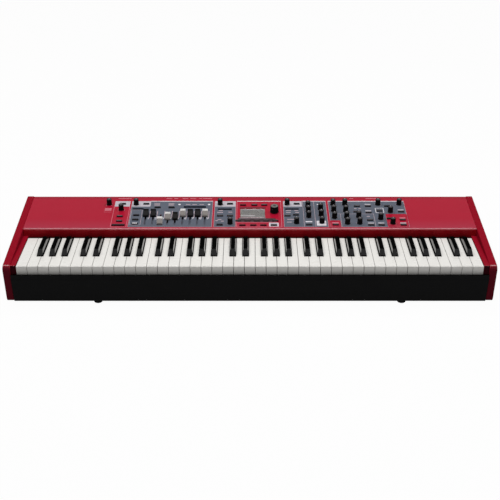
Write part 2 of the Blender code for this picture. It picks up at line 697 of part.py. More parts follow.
PAD_PLATES = {
    "left": [(-322.0 * mm, -256.0 * mm, 9.0 * mm, 69.0 * mm)],
    "organ": [(-313.0 * mm, -175.0 * mm, 95.5 * mm, 123.0 * mm)],
    "piano": [(-80.0 * mm, -38.0 * mm, 12.0 * mm, 123.0 * mm)],
    "program": [
        (-36.5 * mm, 70.0 * mm, 10.0 * mm, 42.0 * mm),
        (-36.5 * mm, -29.5 * mm, 10.0 * mm, 118.0 * mm),
        (-36.5 * mm, 44.0 * mm, 106.0 * mm, 118.0 * mm),
    ],
    "synth": [
        (80.0 * mm, 121.0 * mm, 55.0 * mm, 123.0 * mm),
        (114.5 * mm, 121.0 * mm, 12.5 * mm, 123.0 * mm),
        (114.5 * mm, 208.0 * mm, 12.5 * mm, 23.0 * mm),
    ],
    "effects": [(241.0 * mm, 365.0 * mm, 12.0 * mm, 112.0 * mm)],
}


def all_knob_places():
    return [spot for group in FIXED_KNOBS.values() for spot in group] + SYNTH_KNOBS + [DIAL_PLACE]


def button_pads(parent):
    """Silicone pads: flat plates under the deck, pierced for the knob shafts, with the caps on top."""
    top = UNDER_DECK
    low = top - PAD_THICKNESS
    for name, plates in PAD_PLATES.items():
        solid = united([box(u0, u1, v0, v1, low, top) for u0, u1, v0, v1 in plates])
        holes = [turned([(SHAFT_HOLE, low - GAP), (SHAFT_HOLE, top + GAP)], 6, spot) for spot in all_knob_places()]
        solid = combine(solid, holes, "DIFFERENCE")
        caps = []
        for u, v, width in BUTTONS[name]:
            half = (width / 2, BUTTON[1] / 2)
            rim = (u - half[0], u + half[0], v - half[1], v + half[1])
            face = (rim[0] + BUTTON_DRAFT, rim[1] - BUTTON_DRAFT, rim[2] + BUTTON_DRAFT, rim[3] - BUTTON_DRAFT)
            caps.append(tapered([(*rim, low + PAD_THICKNESS / 2), (*face, BUTTON_HEIGHT)]))
        u0, _, v0, _ = plates[0]
        place(f"{name}_button_pad", united([solid] + caps), BLACK_PLASTIC, parent, (u0, v0, low))


def knob_profile(radius, height, foot):
    """Knob turned with its shaft; foot is how far the shaft reaches below the deck's surface."""
    edge = 0.12 * radius
    return [
        (SHAFT_RADIUS, -foot),
        (SHAFT_RADIUS, KNOB_LIFT),
        (radius, KNOB_LIFT),
        (radius - edge, height),
        (radius - 2 * edge, height + edge / 2),
    ]


def control_board(parent):
    """Circuit board with the pots, the pillars it hangs from and the knobs that have no joint here."""
    low = -BOARD_DEPTH - BOARD_THICKNESS
    spots = all_knob_places()
    left = min(u for u, v in PILLARS + spots) - BOARD_MARGIN
    right = max(u for u, v in PILLARS + spots) + BOARD_MARGIN
    board = box(left, right, BOARD_FRONT, BOARD_REAR, low, -BOARD_DEPTH)
    inside = -BOARD_DEPTH - BOARD_THICKNESS / 2
    pots = []
    for u, v in spots:
        half = POT_SIZE / 2
        pots.append(box(u - half, u + half, v - half, v + half, inside, POT_TOP))
    for u, v in PILLARS:
        half = PILLAR / 2
        pots.append(box(u - half, u + half, v - half, v + half, inside, UNDER_DECK))
    sunk = (BOARD_DEPTH - POT_TOP) / 2
    for group in FIXED_KNOBS.values():
        for spot in group:
            pots.append(turned(knob_profile(KNOB_RADIUS, KNOB_HEIGHT, sunk)[:-1], 8, spot))
    place("control_board", united([board] + pots), CIRCUIT_GREEN, parent, smooth=True)


def turning_knobs(parent):
    """Knobs and the program dial on shafts that stand just clear of their pots."""
    shaft = -POT_TOP - GAP
    for index, spot in enumerate(SYNTH_KNOBS):
        knob = turned(knob_profile(KNOB_RADIUS, KNOB_HEIGHT, shaft), 12, spot)
        place(f"synth_knob_{index + 1}", knob, BLACK_PLASTIC, parent, (*spot, 0), smooth=True)
    dial = turned(knob_profile(DIAL_RADIUS, DIAL_HEIGHT, shaft), 18, DIAL_PLACE)
    place("program_dial", dial, BLACK_PLASTIC, parent, (*DIAL_PLACE, 0), smooth=True)


def drawbar_place(index):
    """Middle of a drawbar's cap at rest."""
    return DRAWBAR_FIRST + index * DRAWBAR_PITCH, DRAWBAR_HOME - DRAWBAR_PULLED[index]


def drawbars(parent):
    """Nine drawbars: a cap that slopes down to the player, a stem through its slot and a slider under it."""
    width, length, height = DRAWBAR_CAP
    inset = 2 * DRAWBAR_EDGE
    rise = (height - DRAWBAR_FRONT) / length
    middle = (height + DRAWBAR_FRONT) / 2
    for index, colour in enumerate(DRAWBAR_COLOURS):
        u, v = drawbar_place(index)

        def ring(across, along, w, slope=0.0):
            corners = [(-across / 2, -along / 2), (across / 2, -along / 2),
                       (across / 2, along / 2), (-across / 2, along / 2)]
            return [(u + du, v + dv, w + slope * dv) for du, dv in corners]

        solid = skin([
            ring(SLIDER[0], SLIDER[1], UNDER_DECK - SLIDER[2]),
            ring(SLIDER[0], SLIDER[1], UNDER_DECK),
            ring(STEM[0], STEM[1], UNDER_DECK),
            ring(STEM[0], STEM[1], KNOB_LIFT),
            ring(width, length, KNOB_LIFT),
            ring(width, length, middle - DRAWBAR_EDGE, rise),
            ring(width - inset, length - inset, middle, rise),
        ])
        look = IVORY if colour == "white" else EBONY
        place(f"drawbar_{index + 1}", solid, look, parent, (u, v, 0))


def drawbar_housing(parent):
    """Channel under the deck whose floor and end walls hold the sliders."""
    floor = UNDER_DECK - SLIDER[2] - GAP
    front = DRAWBAR_HOME - DRAWBAR_TRAVEL - SLIDER[1] / 2 - SLOT_PLAY
    back = DRAWBAR_HOME + SLIDER[1] / 2 + SLOT_PLAY
    outline = [(front - SHEET, floor - SHEET), (front - SHEET, UNDER_DECK), (front, UNDER_DECK), (front, floor)]
    outline += [(back, floor), (back, UNDER_DECK), (back + SHEET, UNDER_DECK), (back + SHEET, floor - SHEET)]
    reach = SLIDER[0] / 2 + 3 * mm
    last = DRAWBAR_FIRST + (len(DRAWBAR_PULLED) - 1) * DRAWBAR_PITCH
    channel = prism(outline, DRAWBAR_FIRST - reach, last + reach)
    place("drawbar_housing", channel, BLACK_PLASTIC, parent)


def display(parent):
    """Display module under the deck and the clear window that fills the opening over it."""
    u0, u1, v0, v1 = WINDOW
    pane = (u0 + GAP, u1 - GAP, v0 + GAP, v1 - GAP)
    place("display_window", box(*pane, -SHEET, 0), CLEAR, parent)
    outer = (u0 - MODULE_MARGIN, u1 + MODULE_MARGIN, v0 - MODULE_MARGIN, v1 + MODULE_MARGIN)
    module = box(*outer, UNDER_DECK - MODULE_DEPTH, UNDER_DECK)
    place("display_module", module, SCREEN, parent)


# Back panel fittings
def jack_cylinder(x, radius, y0, y1, sides=12):
    """Cylinder or hexagon along Y at a jack's place."""
    solid = turned([(radius, 0), (radius, y1 - y0)], sides)
    spot = Matrix.Translation((x, y1, BODY_BOTTOM + JACK_HEIGHT))
    return moved(solid, spot @ Matrix.Rotation(math.pi / 2, 4, "X"))


def socket_block(parent):
    """Row of jack sockets on a small board that stands on the tray."""
    back = PANEL_INSIDE - GAP
    front = back - JACK_BLOCK_DEPTH
    z = BODY_BOTTOM + JACK_HEIGHT
    low = z - JACK_BLOCK_HEIGHT / 2
    reach = JACK_NUT + 4 * mm
    left, right = JACKS[0] - reach, JACKS[-1] + reach
    block = box(left, right, front, back, low, low + JACK_BLOCK_HEIGHT)
    board_front = back - JACK_BOARD_DEPTH
    under = low - BOARD_THICKNESS
    pieces = [box(left, right, board_front, back - SHEET, under, low + GAP)]
    for x in (left, right - PILLAR):
        for y in (board_front, back - SHEET - PILLAR - REAR_FLANGE):
            pieces.append(box(x, x + PILLAR, y, y + PILLAR, TRAY_FLOOR + GAP, under + GAP))
    pieces += [jack_cylinder(x, JACK_NUT, back - GAP, FITTING_Y, 6) for x in JACKS]
    solid = united([block] + pieces)
    bores = [jack_cylinder(x, JACK_BORE, FITTING_Y - JACK_BORE_DEPTH, FITTING_Y + SHEET) for x in JACKS]
    place("socket_block", combine(solid, bores, "DIFFERENCE"), BLACK_PLASTIC, parent, smooth=True)


def power_inlet(parent):
    """Mains inlet with three pins, and the pocket of the rocker switch beside it."""
    width, height = INLET_SIZE
    z = BODY_BOTTOM + INLET_HEIGHT
    frame = (INLET_X - width / 2, INLET_X + width / 2, z - height / 2, z + height / 2)
    inner = [size / 2 - INLET_FRAME for size in INLET_SIZE]
    flange = box(frame[0], frame[1], PANEL_FACE + GAP, FITTING_Y, frame[2], frame[3])
    body = box(INLET_X - inner[0], INLET_X + inner[0], FITTING_Y - INLET_DEPTH, FITTING_Y - GAP,
               z - inner[1], z + inner[1])
    x = INLET_X + INLET_RECESS_X
    bottom = FITTING_Y - INLET_RECESS[2]
    recess = box(x - INLET_RECESS[0] / 2, x + INLET_RECESS[0] / 2, bottom, FITTING_Y + GAP,
                 z - INLET_RECESS[1] / 2, z + INLET_RECESS[1] / 2)
    x = INLET_X + ROCKER_X
    half = (ROCKER[0] / 2 + GAP, ROCKER[1] / 2 + ROCKER_PLAY)
    pocket = box(x - half[0], x + half[0], FITTING_Y - 2 * ROCKER_PIVOT_DEPTH, FITTING_Y + GAP,
                 z - half[1], z + half[1])
    hollow = combine(united([flange, body]), [recess, pocket], "DIFFERENCE")
    pins = []
    for spread, lift in ((-1, -0.4), (0, 0.4), (1, -0.4)):
        x = INLET_X + INLET_RECESS_X + spread * PIN_SPREAD
        pin_z = z + lift * PIN_SPREAD
        pins.append(box(x - PIN[0] / 2, x + PIN[0] / 2, bottom - SHEET, bottom + PIN[2],
                        pin_z - PIN[1] / 2, pin_z + PIN[1] / 2))
    place("power_inlet", united([hollow] + pins), BLACK_PLASTIC, parent)


def power_rocker(parent):
    """Rocker in its pocket, tipped with its upper end in while the instrument is off."""
    face = ROCKER[1] / 2
    outline = [(5.5 * mm, face), (3.0 * mm, 0), (5.5 * mm, -face), (-4.5 * mm, -5 * mm), (-4.5 * mm, 5 * mm)]
    rocker = prism(outline, -ROCKER[0] / 2, ROCKER[0] / 2)
    spot = (INLET_X + ROCKER_X, FITTING_Y - ROCKER_PIVOT_DEPTH, BODY_BOTTOM + INLET_HEIGHT)
    piece = place("power_rocker", rocker, GREY_PLASTIC, parent)
    piece.location = spot
    piece.rotation_euler.x = ROCKER_THROW / 2


def power_supply(parent):
    """Mains supply in a steel can with chamfered edges, in the bay between the key bed and the back panel."""
    low = TRAY_FLOOR + GAP
    high = low + SUPPLY_HEIGHT
    edge = 2 * SHEET
    right = INLET_X - INLET_SIZE[0] / 2 - SUPPLY_INLET_CLEARANCE
    outer = (right - SUPPLY_LENGTH, right, BED_REAR + SUPPLY_FRONT_CLEARANCE, PANEL_FACE - REAR_FLANGE - GAP)
    lid = (outer[0] + edge, outer[1] - edge, outer[2] + edge, outer[3] - edge)
    can = tapered([(*outer, low), (*outer, high - edge), (*lid, high)])
    place("power_supply", can, STEEL, parent)


def main():
    for item in list(bpy.data.objects):
        bpy.data.objects.remove(item)
    front = min(point.x for point in cheek_outline()[0])
    middle = (front + REAR_Y) / 2
    datum = empty("key_datum", matrix=Matrix.Translation((0, -middle, KEY_TOP_HEIGHT)))
    deck = empty("deck_datum", datum, DECK_FRAME)
    end_cheek("left_end_cheek", -1, datum)
    end_cheek("right_end_cheek", 1, datum)
    top_panel(datum)
    rear_panel(datum)
    base_tray(datum)
    feet(datum)
    keybed_frame(datum)
    contact_board(datum)
    keys(datum)
    button_pads(deck)
    control_board(deck)
    turning_knobs(deck)
    drawbars(deck)
    drawbar_housing(deck)
    display(deck)
    socket_block(datum)
    power_inlet(datum)
    power_rocker(datum)
    power_supply(datum)
    for mesh in [item for item in bpy.data.meshes if item.users == 0]:
        bpy.data.meshes.remove(mesh)


main()
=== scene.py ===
"""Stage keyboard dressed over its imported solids: finer shapes, printed deck, finishes, lights and camera.

Lengths are in metres in the frame's own axes. Places and sizes on the deck are written in millimetres, u
across it and v from the lip towards the back, and heights over the deck are in metres again.
"""
import math

import bmesh
import bpy
from mathutils import Matrix, Vector


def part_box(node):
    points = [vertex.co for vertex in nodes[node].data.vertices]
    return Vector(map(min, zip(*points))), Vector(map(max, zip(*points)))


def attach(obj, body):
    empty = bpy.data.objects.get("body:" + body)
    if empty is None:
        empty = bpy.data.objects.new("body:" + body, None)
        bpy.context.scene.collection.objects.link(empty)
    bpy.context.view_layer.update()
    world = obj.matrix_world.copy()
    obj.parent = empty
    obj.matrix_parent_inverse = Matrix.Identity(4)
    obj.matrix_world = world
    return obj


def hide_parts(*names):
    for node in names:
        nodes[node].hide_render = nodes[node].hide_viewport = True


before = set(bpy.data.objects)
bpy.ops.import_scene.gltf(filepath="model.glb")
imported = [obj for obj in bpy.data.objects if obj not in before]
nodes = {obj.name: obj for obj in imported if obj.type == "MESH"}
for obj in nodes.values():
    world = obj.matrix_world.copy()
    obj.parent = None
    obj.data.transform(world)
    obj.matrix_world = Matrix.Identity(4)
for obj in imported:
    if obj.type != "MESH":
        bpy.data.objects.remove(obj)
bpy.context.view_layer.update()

# A millimetre, and the gap that keeps thin pieces off the faces under them
mm = 0.001
HAIR = 0.05 * mm

# Where the deck, the keys and the back panel lie
KEY_TOP = 101.0 * mm
LIP_OVER_KEYS = 17.3 * mm
LIP_BEHIND_KEYS = 163.0 * mm
DECK_SLOPE = math.radians(6.175)
LIP_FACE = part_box("top_panel")[0].y
REAR_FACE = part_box("top_panel")[1].y
KEY_FRONT = LIP_FACE - LIP_BEHIND_KEYS
DECK = Matrix.Translation((0, LIP_FACE, KEY_TOP + LIP_OVER_KEYS)) @ Matrix.Rotation(DECK_SLOPE, 4, "X")
PANEL_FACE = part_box("rear_panel")[1].y
LEDGE_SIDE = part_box("top_panel")[1].x
# Visible length of the white caps, cut short so that the dark stick behind them also stands for the lip's
# painted shadow
CAP_LENGTH = 148.4 * mm
BACKWARDS = Matrix.Rotation(math.radians(-90), 4, "X")
DOWNWARDS = Matrix.Rotation(math.radians(180), 4, "X")

# Print on the deck: its thickness, where it ends at the front and the back, and the widths of its lines
FILM = 0.10 * mm
MARK = 0.16 * mm
PRINT_LOW = 8.0
PRINT_HIGH = 133.0
HEADER_LOW = 105.5
HAIRLINE = 0.8
BOLD = 2.2

# Knobs, dial and buttons
KNOB_RADIUS = 6.35 * mm
KNOB_HEIGHT = 14.5 * mm
KNOB_LIFT = 0.5 * mm
SHAFT_RADIUS = 3.0 * mm
SHAFT_FOOT = -4.1 * mm
SHAFT_HOLE = 3.8 * mm
DIAL_RADIUS = 10.2 * mm
DIAL_HEIGHT = 16.8 * mm
DIMPLE_RADIUS = 3.6 * mm
FLUTE_DEPTH = 0.35 * mm
DIAL_PLACE = (57.6, 79.5)
BUTTON_LENGTH = 5.6
BUTTON_TOP = 2.6 * mm
LENS_SHORTER = (2.6, 2.4)
LENS_TOP = BUTTON_TOP + 0.15 * mm
SLOT_PLAY = 0.5
FIXED_KNOBS = {
    "master": [(-334.5, 116.5)],
    "rotary": [(-303.5, 90.0)],
    "organ": [(-270.4, 116.5)],
    "piano": [(-70.7, 116.5), (-45.7, 24.6)],
    "synth": [(88.6, 116.5), (108.0, 27.2)],
    "effects": [(225.7, v) for v in (115.7, 82.5, 52.3, 24.1)] + [(254.0, v) for v in (55.3, 24.6)]
    + [(304.5, v) for v in (115.7, 46.3)] + [(330.5, v) for v in (79.5, 24.6)] + [(354.8, 116.5)],
}
TURNING_KNOBS = (
    [(137.4, v) for v in (105.2, 81.8, 55.4)] + [(166.8, v) for v in (92.5, 62.4, 28.2)]
    + [(197.4, v) for v in (114.7, 83.5, 51.3)]
)
KNOBS = [spot for group in FIXED_KNOBS.values() for spot in group] + TURNING_KNOBS

# Buttons of each pad: places across, place along, width and the tone of their lenses
BUTTON_ROWS = {
    "left": [
        ((-304.2,), 57.5, 14, "grey"), ((-303.1,), 35.0, 14, "grey"), ((-303.6,), 16.0, 30, "dark"),
        ((-266.1,), 62.5, 14, "dark"), ((-266.3,), 41.5, 14, "dark"), ((-265.9,), 22.0, 14, "lit"),
    ],
    "organ": [((-302.4, -246.8), 118.0, 14, "dark"), ((-218.6, -185.6), 100.5, 14, "dark")],
    "piano": [
        ((-47.1,), 118.0, 14, "dark"), ((-69.6, -46.5), 60.0, 14, "grey"), ((-69.9,), 17.5, 14, "dark"),
    ],
    "program": [
        ((-16.1,), 112.5, 14, "red"), ((10.6, 34.1), 112.5, 14, "grey"),
        ((-26.9, -5.4, 16.1, 37.5, 59.0), 36.4, 14, "soft"),
        ((-17.2, 7.9, 31.0), 16.0, 14, "red"), ((55.4,), 16.0, 14, "grey"),
    ],
    "synth": [
        ((111.4,), 118.0, 14, "dark"), ((88.0,), 60.5, 14, "grey"), ((108.0,), 64.5, 14, "dark"),
        ((136.8,), 18.0, 14, "striped"), ((198.0,), 18.0, 14, "grey"),
    ],
    "effects": [
        ((253.9,), 107.0, 14, "grey"), ((280.3,), 107.0, 14, "striped"), ((326.0,), 107.0, 14, "dark"),
        ((251.0,), 79.5, 14, "grey"), ((279.1,), 75.5, 14, "striped"), ((305.0,), 84.0, 14, "grey"),
        ((356.0,), 80.0, 14, "striped"), ((279.6,), 40.0, 14, "grey"), ((325.3,), 46.5, 14, "dark"),
        ((355.2,), 41.0, 14, "grey"), ((280.0, 303.8, 354.4), 17.0, 14, "striped"),
    ],
}
BUTTONS = {
    pad: [(u, v, width, tone) for us, v, width, tone in rows for u in us] for pad, rows in BUTTON_ROWS.items()
}

# Drawbars and display
DRAWBAR_FIRST = -243.1
DRAWBAR_PITCH = 17.29
DRAWBARS = [DRAWBAR_FIRST + index * DRAWBAR_PITCH for index in range(9)]
DRAWBAR_COLOURS = ["black", "black", "white", "white", "black", "white", "black", "black", "white"]
DRAWBAR_SLOT = (19.1, 67.1)
STEM_WIDTH = 3.2
RIDGE_TOP = 13.3
WINDOW = (-22.7, 35.5, 52.3, 94.5)

# Controls board under the deck
BOARD = (-355.0, 380.0, 11.0, 132.0)
BOARD_TOP = -12.0 * mm
BOARD_THICKNESS = 1.6 * mm
POT_TOP = -5.0 * mm
POT_HALF = 4.5
PILLAR_TOP = -1.8 * mm
PILLAR_HALF = 3.0
PILLARS = [(u, v) for u in (-345.0, -88.0, 74.0, 212.0, 370.0) for v in (15.0, 128.0)]

# Back panel fittings
JACKS = [-434.0, -414.0, -394.0]
JACK_LEVEL = 50.5
WASHER_RADIUS = 9.0 * mm
WASHER_BORE = 6.6 * mm
WASHER_TOP = 0.6 * mm
NUT_RADIUS = 6.3 * mm
NUT_BORE = 3.3 * mm
NUT_LOW = 0.4 * mm
FITTING_STAND = 1.5 * mm
ROCKER_X = 447.0
ROCKER_LEVEL = 52.5
ROCKER_PIVOT = 7.0 * mm
ROCKER_REST = math.radians(10)
ROCKER_HALF = 9.0
ROCKER_PEAK = 2.5
ROCKER_MIDDLE = 4.25


# Shader maths, and the sockets that it picks by name or number
LOOKING_RAYS = ("Is Camera Ray", "Is Glossy Ray", "Is Transmission Ray")
MIX_SHARE = 0
MIX_FIRST = 6
MIX_SECOND = 7
MIX_COLOUR = 2


class Value:
    """A shader socket that takes part in sums."""

    def __init__(self, nodes_of, socket):
        self.nodes_of = nodes_of
        self.socket = socket

    def sum(self, operation, first, second, clamp=False):
        settings = {"operation": operation, "use_clamp": clamp}
        return self.nodes_of.node("ShaderNodeMath", settings, {0: first, 1: second})

    def __add__(self, other):
        return self.sum("ADD", self, other)

    def __sub__(self, other):
        return self.sum("SUBTRACT", self, other)

    def __rsub__(self, other):
        return self.sum("SUBTRACT", other, self)

    def __mul__(self, other):
        return self.sum("MULTIPLY", self, other)

    def __lt__(self, other):
        return self.sum("LESS_THAN", self, other)

    def __gt__(self, other):
        return self.sum("GREATER_THAN", self, other)

    def __or__(self, other):
        """The larger of two masks."""
        return self.sum("MAXIMUM", self, other)

    def __abs__(self):
        return self.sum("MAXIMUM", self, 0.0 - self)

    def repeated(self, period):
        """Distance to the nearest whole period, which rises and falls like a row of teeth."""
        return self.sum("PINGPONG", self, period / 2)

    def clamped(self):
        return self.sum("ADD", self, 0.0, clamp=True)

    __radd__ = __add__
    __rmul__ = __mul__


class Nodes:
    """A node tree and the one way in which nodes are added to it."""

    def __init__(self, tree):
        self.tree = tree

    def put(self, socket, value):
        if isinstance(value, Value):
            self.tree.links.new(value.socket, socket)
        elif socket.type == "RGBA":
            socket.default_value = (*value, 1)
        else:
            socket.default_value = value

    def node(self, kind, settings=None, inputs=None, output=0):
        """A node of any kind: its settings first, then the values or links of its inputs."""
        made = self.tree.nodes.new(kind)
        for name, value in (settings or {}).items():
            setattr(made, name, value)
        for name, value in (inputs or {}).items():
            self.put(made.inputs[name], value)
        return Value(self, made.outputs[output])

    def seen(self):
        """One for rays that look at the place: from the camera, in gloss or through glass."""
        camera_ray, glossy_ray, clear_ray = (
            self.node("ShaderNodeLightPath", output=ray) for ray in LOOKING_RAYS
        )
        return camera_ray | (glossy_ray | clear_ray)


class Finish(Nodes):
    """One material and its nodes."""

    def __init__(self, name, colour, roughness, **more):
        self.material = bpy.data.materials.new(name)
        self.material.use_nodes = True
        super().__init__(self.material.node_tree)
        self.shader = self.tree.nodes["Principled BSDF"]
        self.sockets = {socket.name.lower().replace(" ", "_"): socket for socket in self.shader.inputs}
        self.set(base_color=colour, roughness=roughness, **more)

    def set(self, **values):
        """Values or links of the shader's sockets, named in small letters."""
        for name, value in values.items():
            self.put(self.sockets[name], value)
        return self

    def place(self, scale=(1, 1, 1)):
        """Place on the piece, in metres times a scale."""
        where = self.node("ShaderNodeTexCoord", output="Object")
        return self.node("ShaderNodeVectorMath", {"operation": "MULTIPLY"}, {0: where, 1: scale})

    def axis(self, index):
        return self.node("ShaderNodeSeparateXYZ", None, {0: self.place()}, index)

    def facing(self, index):
        """How far the surface faces along an axis, from -1 to 1."""
        normal = self.node("ShaderNodeTexCoord", output="Normal")
        return self.node("ShaderNodeSeparateXYZ", None, {0: normal}, index)

    def fronts(self, start, rise):
        """One on faces turned to the player, and none on those turned that way by less than a start."""
        return ((self.facing(1) + start) * -rise).clamped()

    def over_deck(self):
        """Height of the place over the deck."""
        rise = (self.axis(2) - KEY_TOP - LIP_OVER_KEYS) * math.cos(DECK_SLOPE)
        return rise - (self.axis(1) - LIP_FACE) * math.sin(DECK_SLOPE)

    def forward_bend(self):
        """One on edges that face half up and half to the player, none on tops and fronts."""
        return ((self.facing(1) * self.facing(2) * -2.0 - 0.35) * 2.5).clamped()

    def noise(self, size, detail=2.0, stretch=(1, 1, 1)):
        """Cloudy value from 0 to 1 with features of a given size in metres."""
        inputs = {"Vector": self.place(tuple(1 / s for s in stretch)), "Scale": 1 / size, "Detail": detail}
        return self.node("ShaderNodeTexNoise", None, inputs)

    def mix(self, share, first, second):
        inputs = {MIX_SHARE: share, MIX_FIRST: first, MIX_SECOND: second}
        return self.node("ShaderNodeMix", {"data_type": "RGBA"}, inputs, MIX_COLOUR)

    def bump(self, height, depth):
        """Relief from a value, with its full depth in metres."""
        return self.set(normal=self.node("ShaderNodeBump", None, {"Height": height, "Distance": depth}))


def shade(colour, factor):
    return tuple(channel * factor for channel in colour)


def plain(name, colour, roughness, grain=0.6 * mm, depth=0.015 * mm, spread=0.06, specular=0.1, **more):
    """Moulded or printed finish: slight cloudiness in colour and gloss over a fine grain."""
    finish = Finish(name, colour, roughness, specular_ior_level=specular, **more)
    cloud = finish.noise(38 * mm, 3)
    finish.set(base_color=finish.mix(cloud, shade(colour, 1 - spread), shade(colour, 1 + spread)))
    finish.set(roughness=roughness * (0.88 + 0.24 * finish.noise(9 * mm, 3)))
    return finish.bump(finish.noise(grain, 2), depth)


def printed(name, colour, roughness=0.55, spread=0.03, specular=0.04):
    """Screen print, finer and shallower in its grain than the moulded finishes."""
    return plain(name, colour, roughness, 0.5 * mm, 0.01 * mm, spread, specular)


def lacquer(name, colour, sheen_colour, shaded_face_colour):
    """Satin lacquer on the bent sheet: painted sheen makes it rosier near the lip, and painted shade makes it
    deeper at the back and down the lip's face.
    """
    finish = plain(name, colour, 0.36, 0.9 * mm, 0.02 * mm, specular=0.06, coat_roughness=0.16)
    cloud = finish.noise(45 * mm, 3)
    body = finish.mix(cloud, shade(colour, 0.95), shade(colour, 1.05))
    depth = (finish.axis(1) - LIP_FACE) * (1 / (REAR_FACE - LIP_FACE))
    # Painted sheen: the red turns rosier towards the lip
    lip_sheen = (1.0 - depth * 3.4).clamped()
    body = finish.mix(lip_sheen, body, sheen_colour)
    # Painted shade: deeper red towards the back, and a darker copy of the red on faces turned to the player,
    # such as the lip's face
    back_shade = (depth * 14.0 - 12.4).clamped()
    body = finish.mix(back_shade * 0.8, body, shade(colour, 0.7))
    finish.set(base_color=finish.mix(finish.fronts(0.75, 5.0), body, shaded_face_colour))
    return finish.set(coat_weight=finish.forward_bend())


def stained_wood(name, colour, shaded_front_colour, shaded_ledge_colour):
    """Lacquered wood: faint long grain under the stain, a glossier nose, and painted shade that deepens its
    front and, further still, the ledge's front.
    """
    finish = Finish(name, colour, 0.42, specular_ior_level=0.01, coat_roughness=0.12)
    grain = finish.noise(2.2 * mm, 4, (1, 14, 1))
    cloud = finish.noise(60 * mm, 2, (1, 3, 1))
    figure = 0.6 * grain + 0.4 * cloud
    body = finish.mix(figure, shade(colour, 0.82), shade(colour, 1.18))
    # Painted shade: fronts are darker than the top, and the ledge's front is darker still
    ledge = abs(finish.axis(0)) < LEDGE_SIDE
    front = finish.mix(ledge, shaded_front_colour, shaded_ledge_colour)
    finish.set(base_color=finish.mix(finish.fronts(0.55, 6.0), body, front))
    nose = (1.3 - abs(finish.facing(1) + 0.36) * 6.0).clamped()
    finish.set(roughness=0.36 + 0.12 * cloud, coat_weight=nose)
    return finish.bump(grain, 0.04 * mm)


def ivory(name, colour):
    """White key plastic: keys differ a touch, with painted light on their fronts, painted shade low on them,
    and a dark stick at their ends that is partly the lip's painted shadow.
    """
    finish = Finish(name, colour, 0.28, specular_ior_level=0.22)
    tone = finish.noise(23.57 * mm, 0, (1, 40, 40))
    body = finish.mix(tone, shade(colour, 0.98), shade(colour, 1.02))
    front = finish.fronts(0.6, 5.0)
    low = ((KEY_TOP - 6.5 * mm - finish.axis(2)) * 85.0).clamped()
    # Painted light makes the fronts a lighter copy of the plastic, and painted shade darkens their foot
    body = finish.mix(front, body, shade(colour, 1.12))
    body = finish.mix(front * low, body, shade(colour, 0.53))
    # Behind the caps a dark stick, partly real and partly the painted shadow of the lip on the keys
    stick_and_shadow = finish.axis(1) > KEY_FRONT + CAP_LENGTH
    finish.set(base_color=finish.mix(stick_and_shadow, body, KEY_STICK_AND_SHADOW))
    finish.set(roughness=0.22 + 0.12 * finish.noise(22 * mm, 3))
    return finish.bump(finish.noise(0.5 * mm, 2), 0.006 * mm)


def ebony(name, colour):
    """Black key plastic: matt tops with the polished flanks and front slope that mirror the white keys."""
    finish = Finish(name, colour, 0.4, specular_ior_level=0.0, coat_roughness=0.07, coat_ior=1.7)
    high = ((finish.axis(2) - KEY_TOP - 5.0 * mm) * 700.0).clamped()
    flank = ((abs(finish.facing(0)) - 0.55) * 4.0).clamped() * high
    finish.set(coat_weight=flank | (0.3 * finish.forward_bend()))
    finish.set(base_color=finish.mix(finish.noise(9 * mm, 2), shade(colour, 0.8), shade(colour, 1.2)))
    finish.set(roughness=0.34 + 0.12 * finish.noise(14 * mm, 3))
    return finish.bump(finish.noise(0.5 * mm, 2), 0.004 * mm)


def drawbar_plastic(name, colour, shaded_slope_colour):
    """Moulded drawbar: painted shade makes the slope towards the player deeper than its sides, and it is
    black under the deck.
    """
    finish = plain(name, colour, 0.4, specular=0.05)
    # Painted shade: the slope towards the player takes a darker copy of the plastic
    slope_shade = finish.mix(finish.noise(7 * mm, 3), shade(shaded_slope_colour, 0.94), shade(shaded_slope_colour, 1.06))
    cap = finish.mix(finish.fronts(0.2, 5.0), colour, slope_shade)
    under = finish.over_deck() < 0.4 * mm
    return finish.set(base_color=finish.mix(under, cap, STEM_BLACK))


def lens(name, colour, glow):
    """Small translucent button lens, with a lamp behind it where it is lit."""
    finish = plain(name, colour, 0.3, spread=0.03)
    return finish.set(emission_color=colour, emission_strength=glow)


def solder_mask(name, colour, track_colour):
    """Green mask with a net of fine tracks under it."""
    finish = Finish(name, colour, 0.4, specular_ior_level=0.3)
    inputs = {"Vector": finish.place(), "Scale": 240.0}
    cells = finish.node("ShaderNodeTexVoronoi", {"distance": "MANHATTAN"}, inputs)
    track = abs(cells - 0.35) < 0.05
    finish.set(base_color=finish.mix(track, colour, track_colour))
    return finish.bump(track, 0.03 * mm)


def brushed(name, colour, roughness):
    """Rolled metal with fine lines along the keyboard."""
    finish = Finish(name, colour, roughness, metallic=1.0)
    lines = finish.noise(0.7 * mm, 3, (60, 1, 1))
    finish.set(roughness=roughness * (0.7 + 0.6 * lines))
    finish.set(base_color=finish.mix(lines, shade(colour, 0.85), shade(colour, 1.1)))
    return finish.bump(lines, 0.01 * mm)


def liquid_crystal(name, colour):
    """Reflective display glass: a fine grid of dots on a grey that drifts to green."""
    finish = Finish(name, colour, 0.5, specular_ior_level=0.05)
    dot = 0.7 * mm
    gap = 0.05 * mm
    grid = (finish.axis(0).repeated(dot) < gap) | (finish.axis(1).repeated(dot) < gap)
    drift = finish.noise(24 * mm, 1)
    ground = finish.mix(drift, shade(colour, 0.9), (colour[0] * 0.92, colour[1] * 1.12, colour[2] * 1.02))
    finish.set(base_color=finish.mix(0.3 * grid, ground, shade(colour, 1.5)))
    return finish.set(roughness=0.4 + 0.1 * drift)


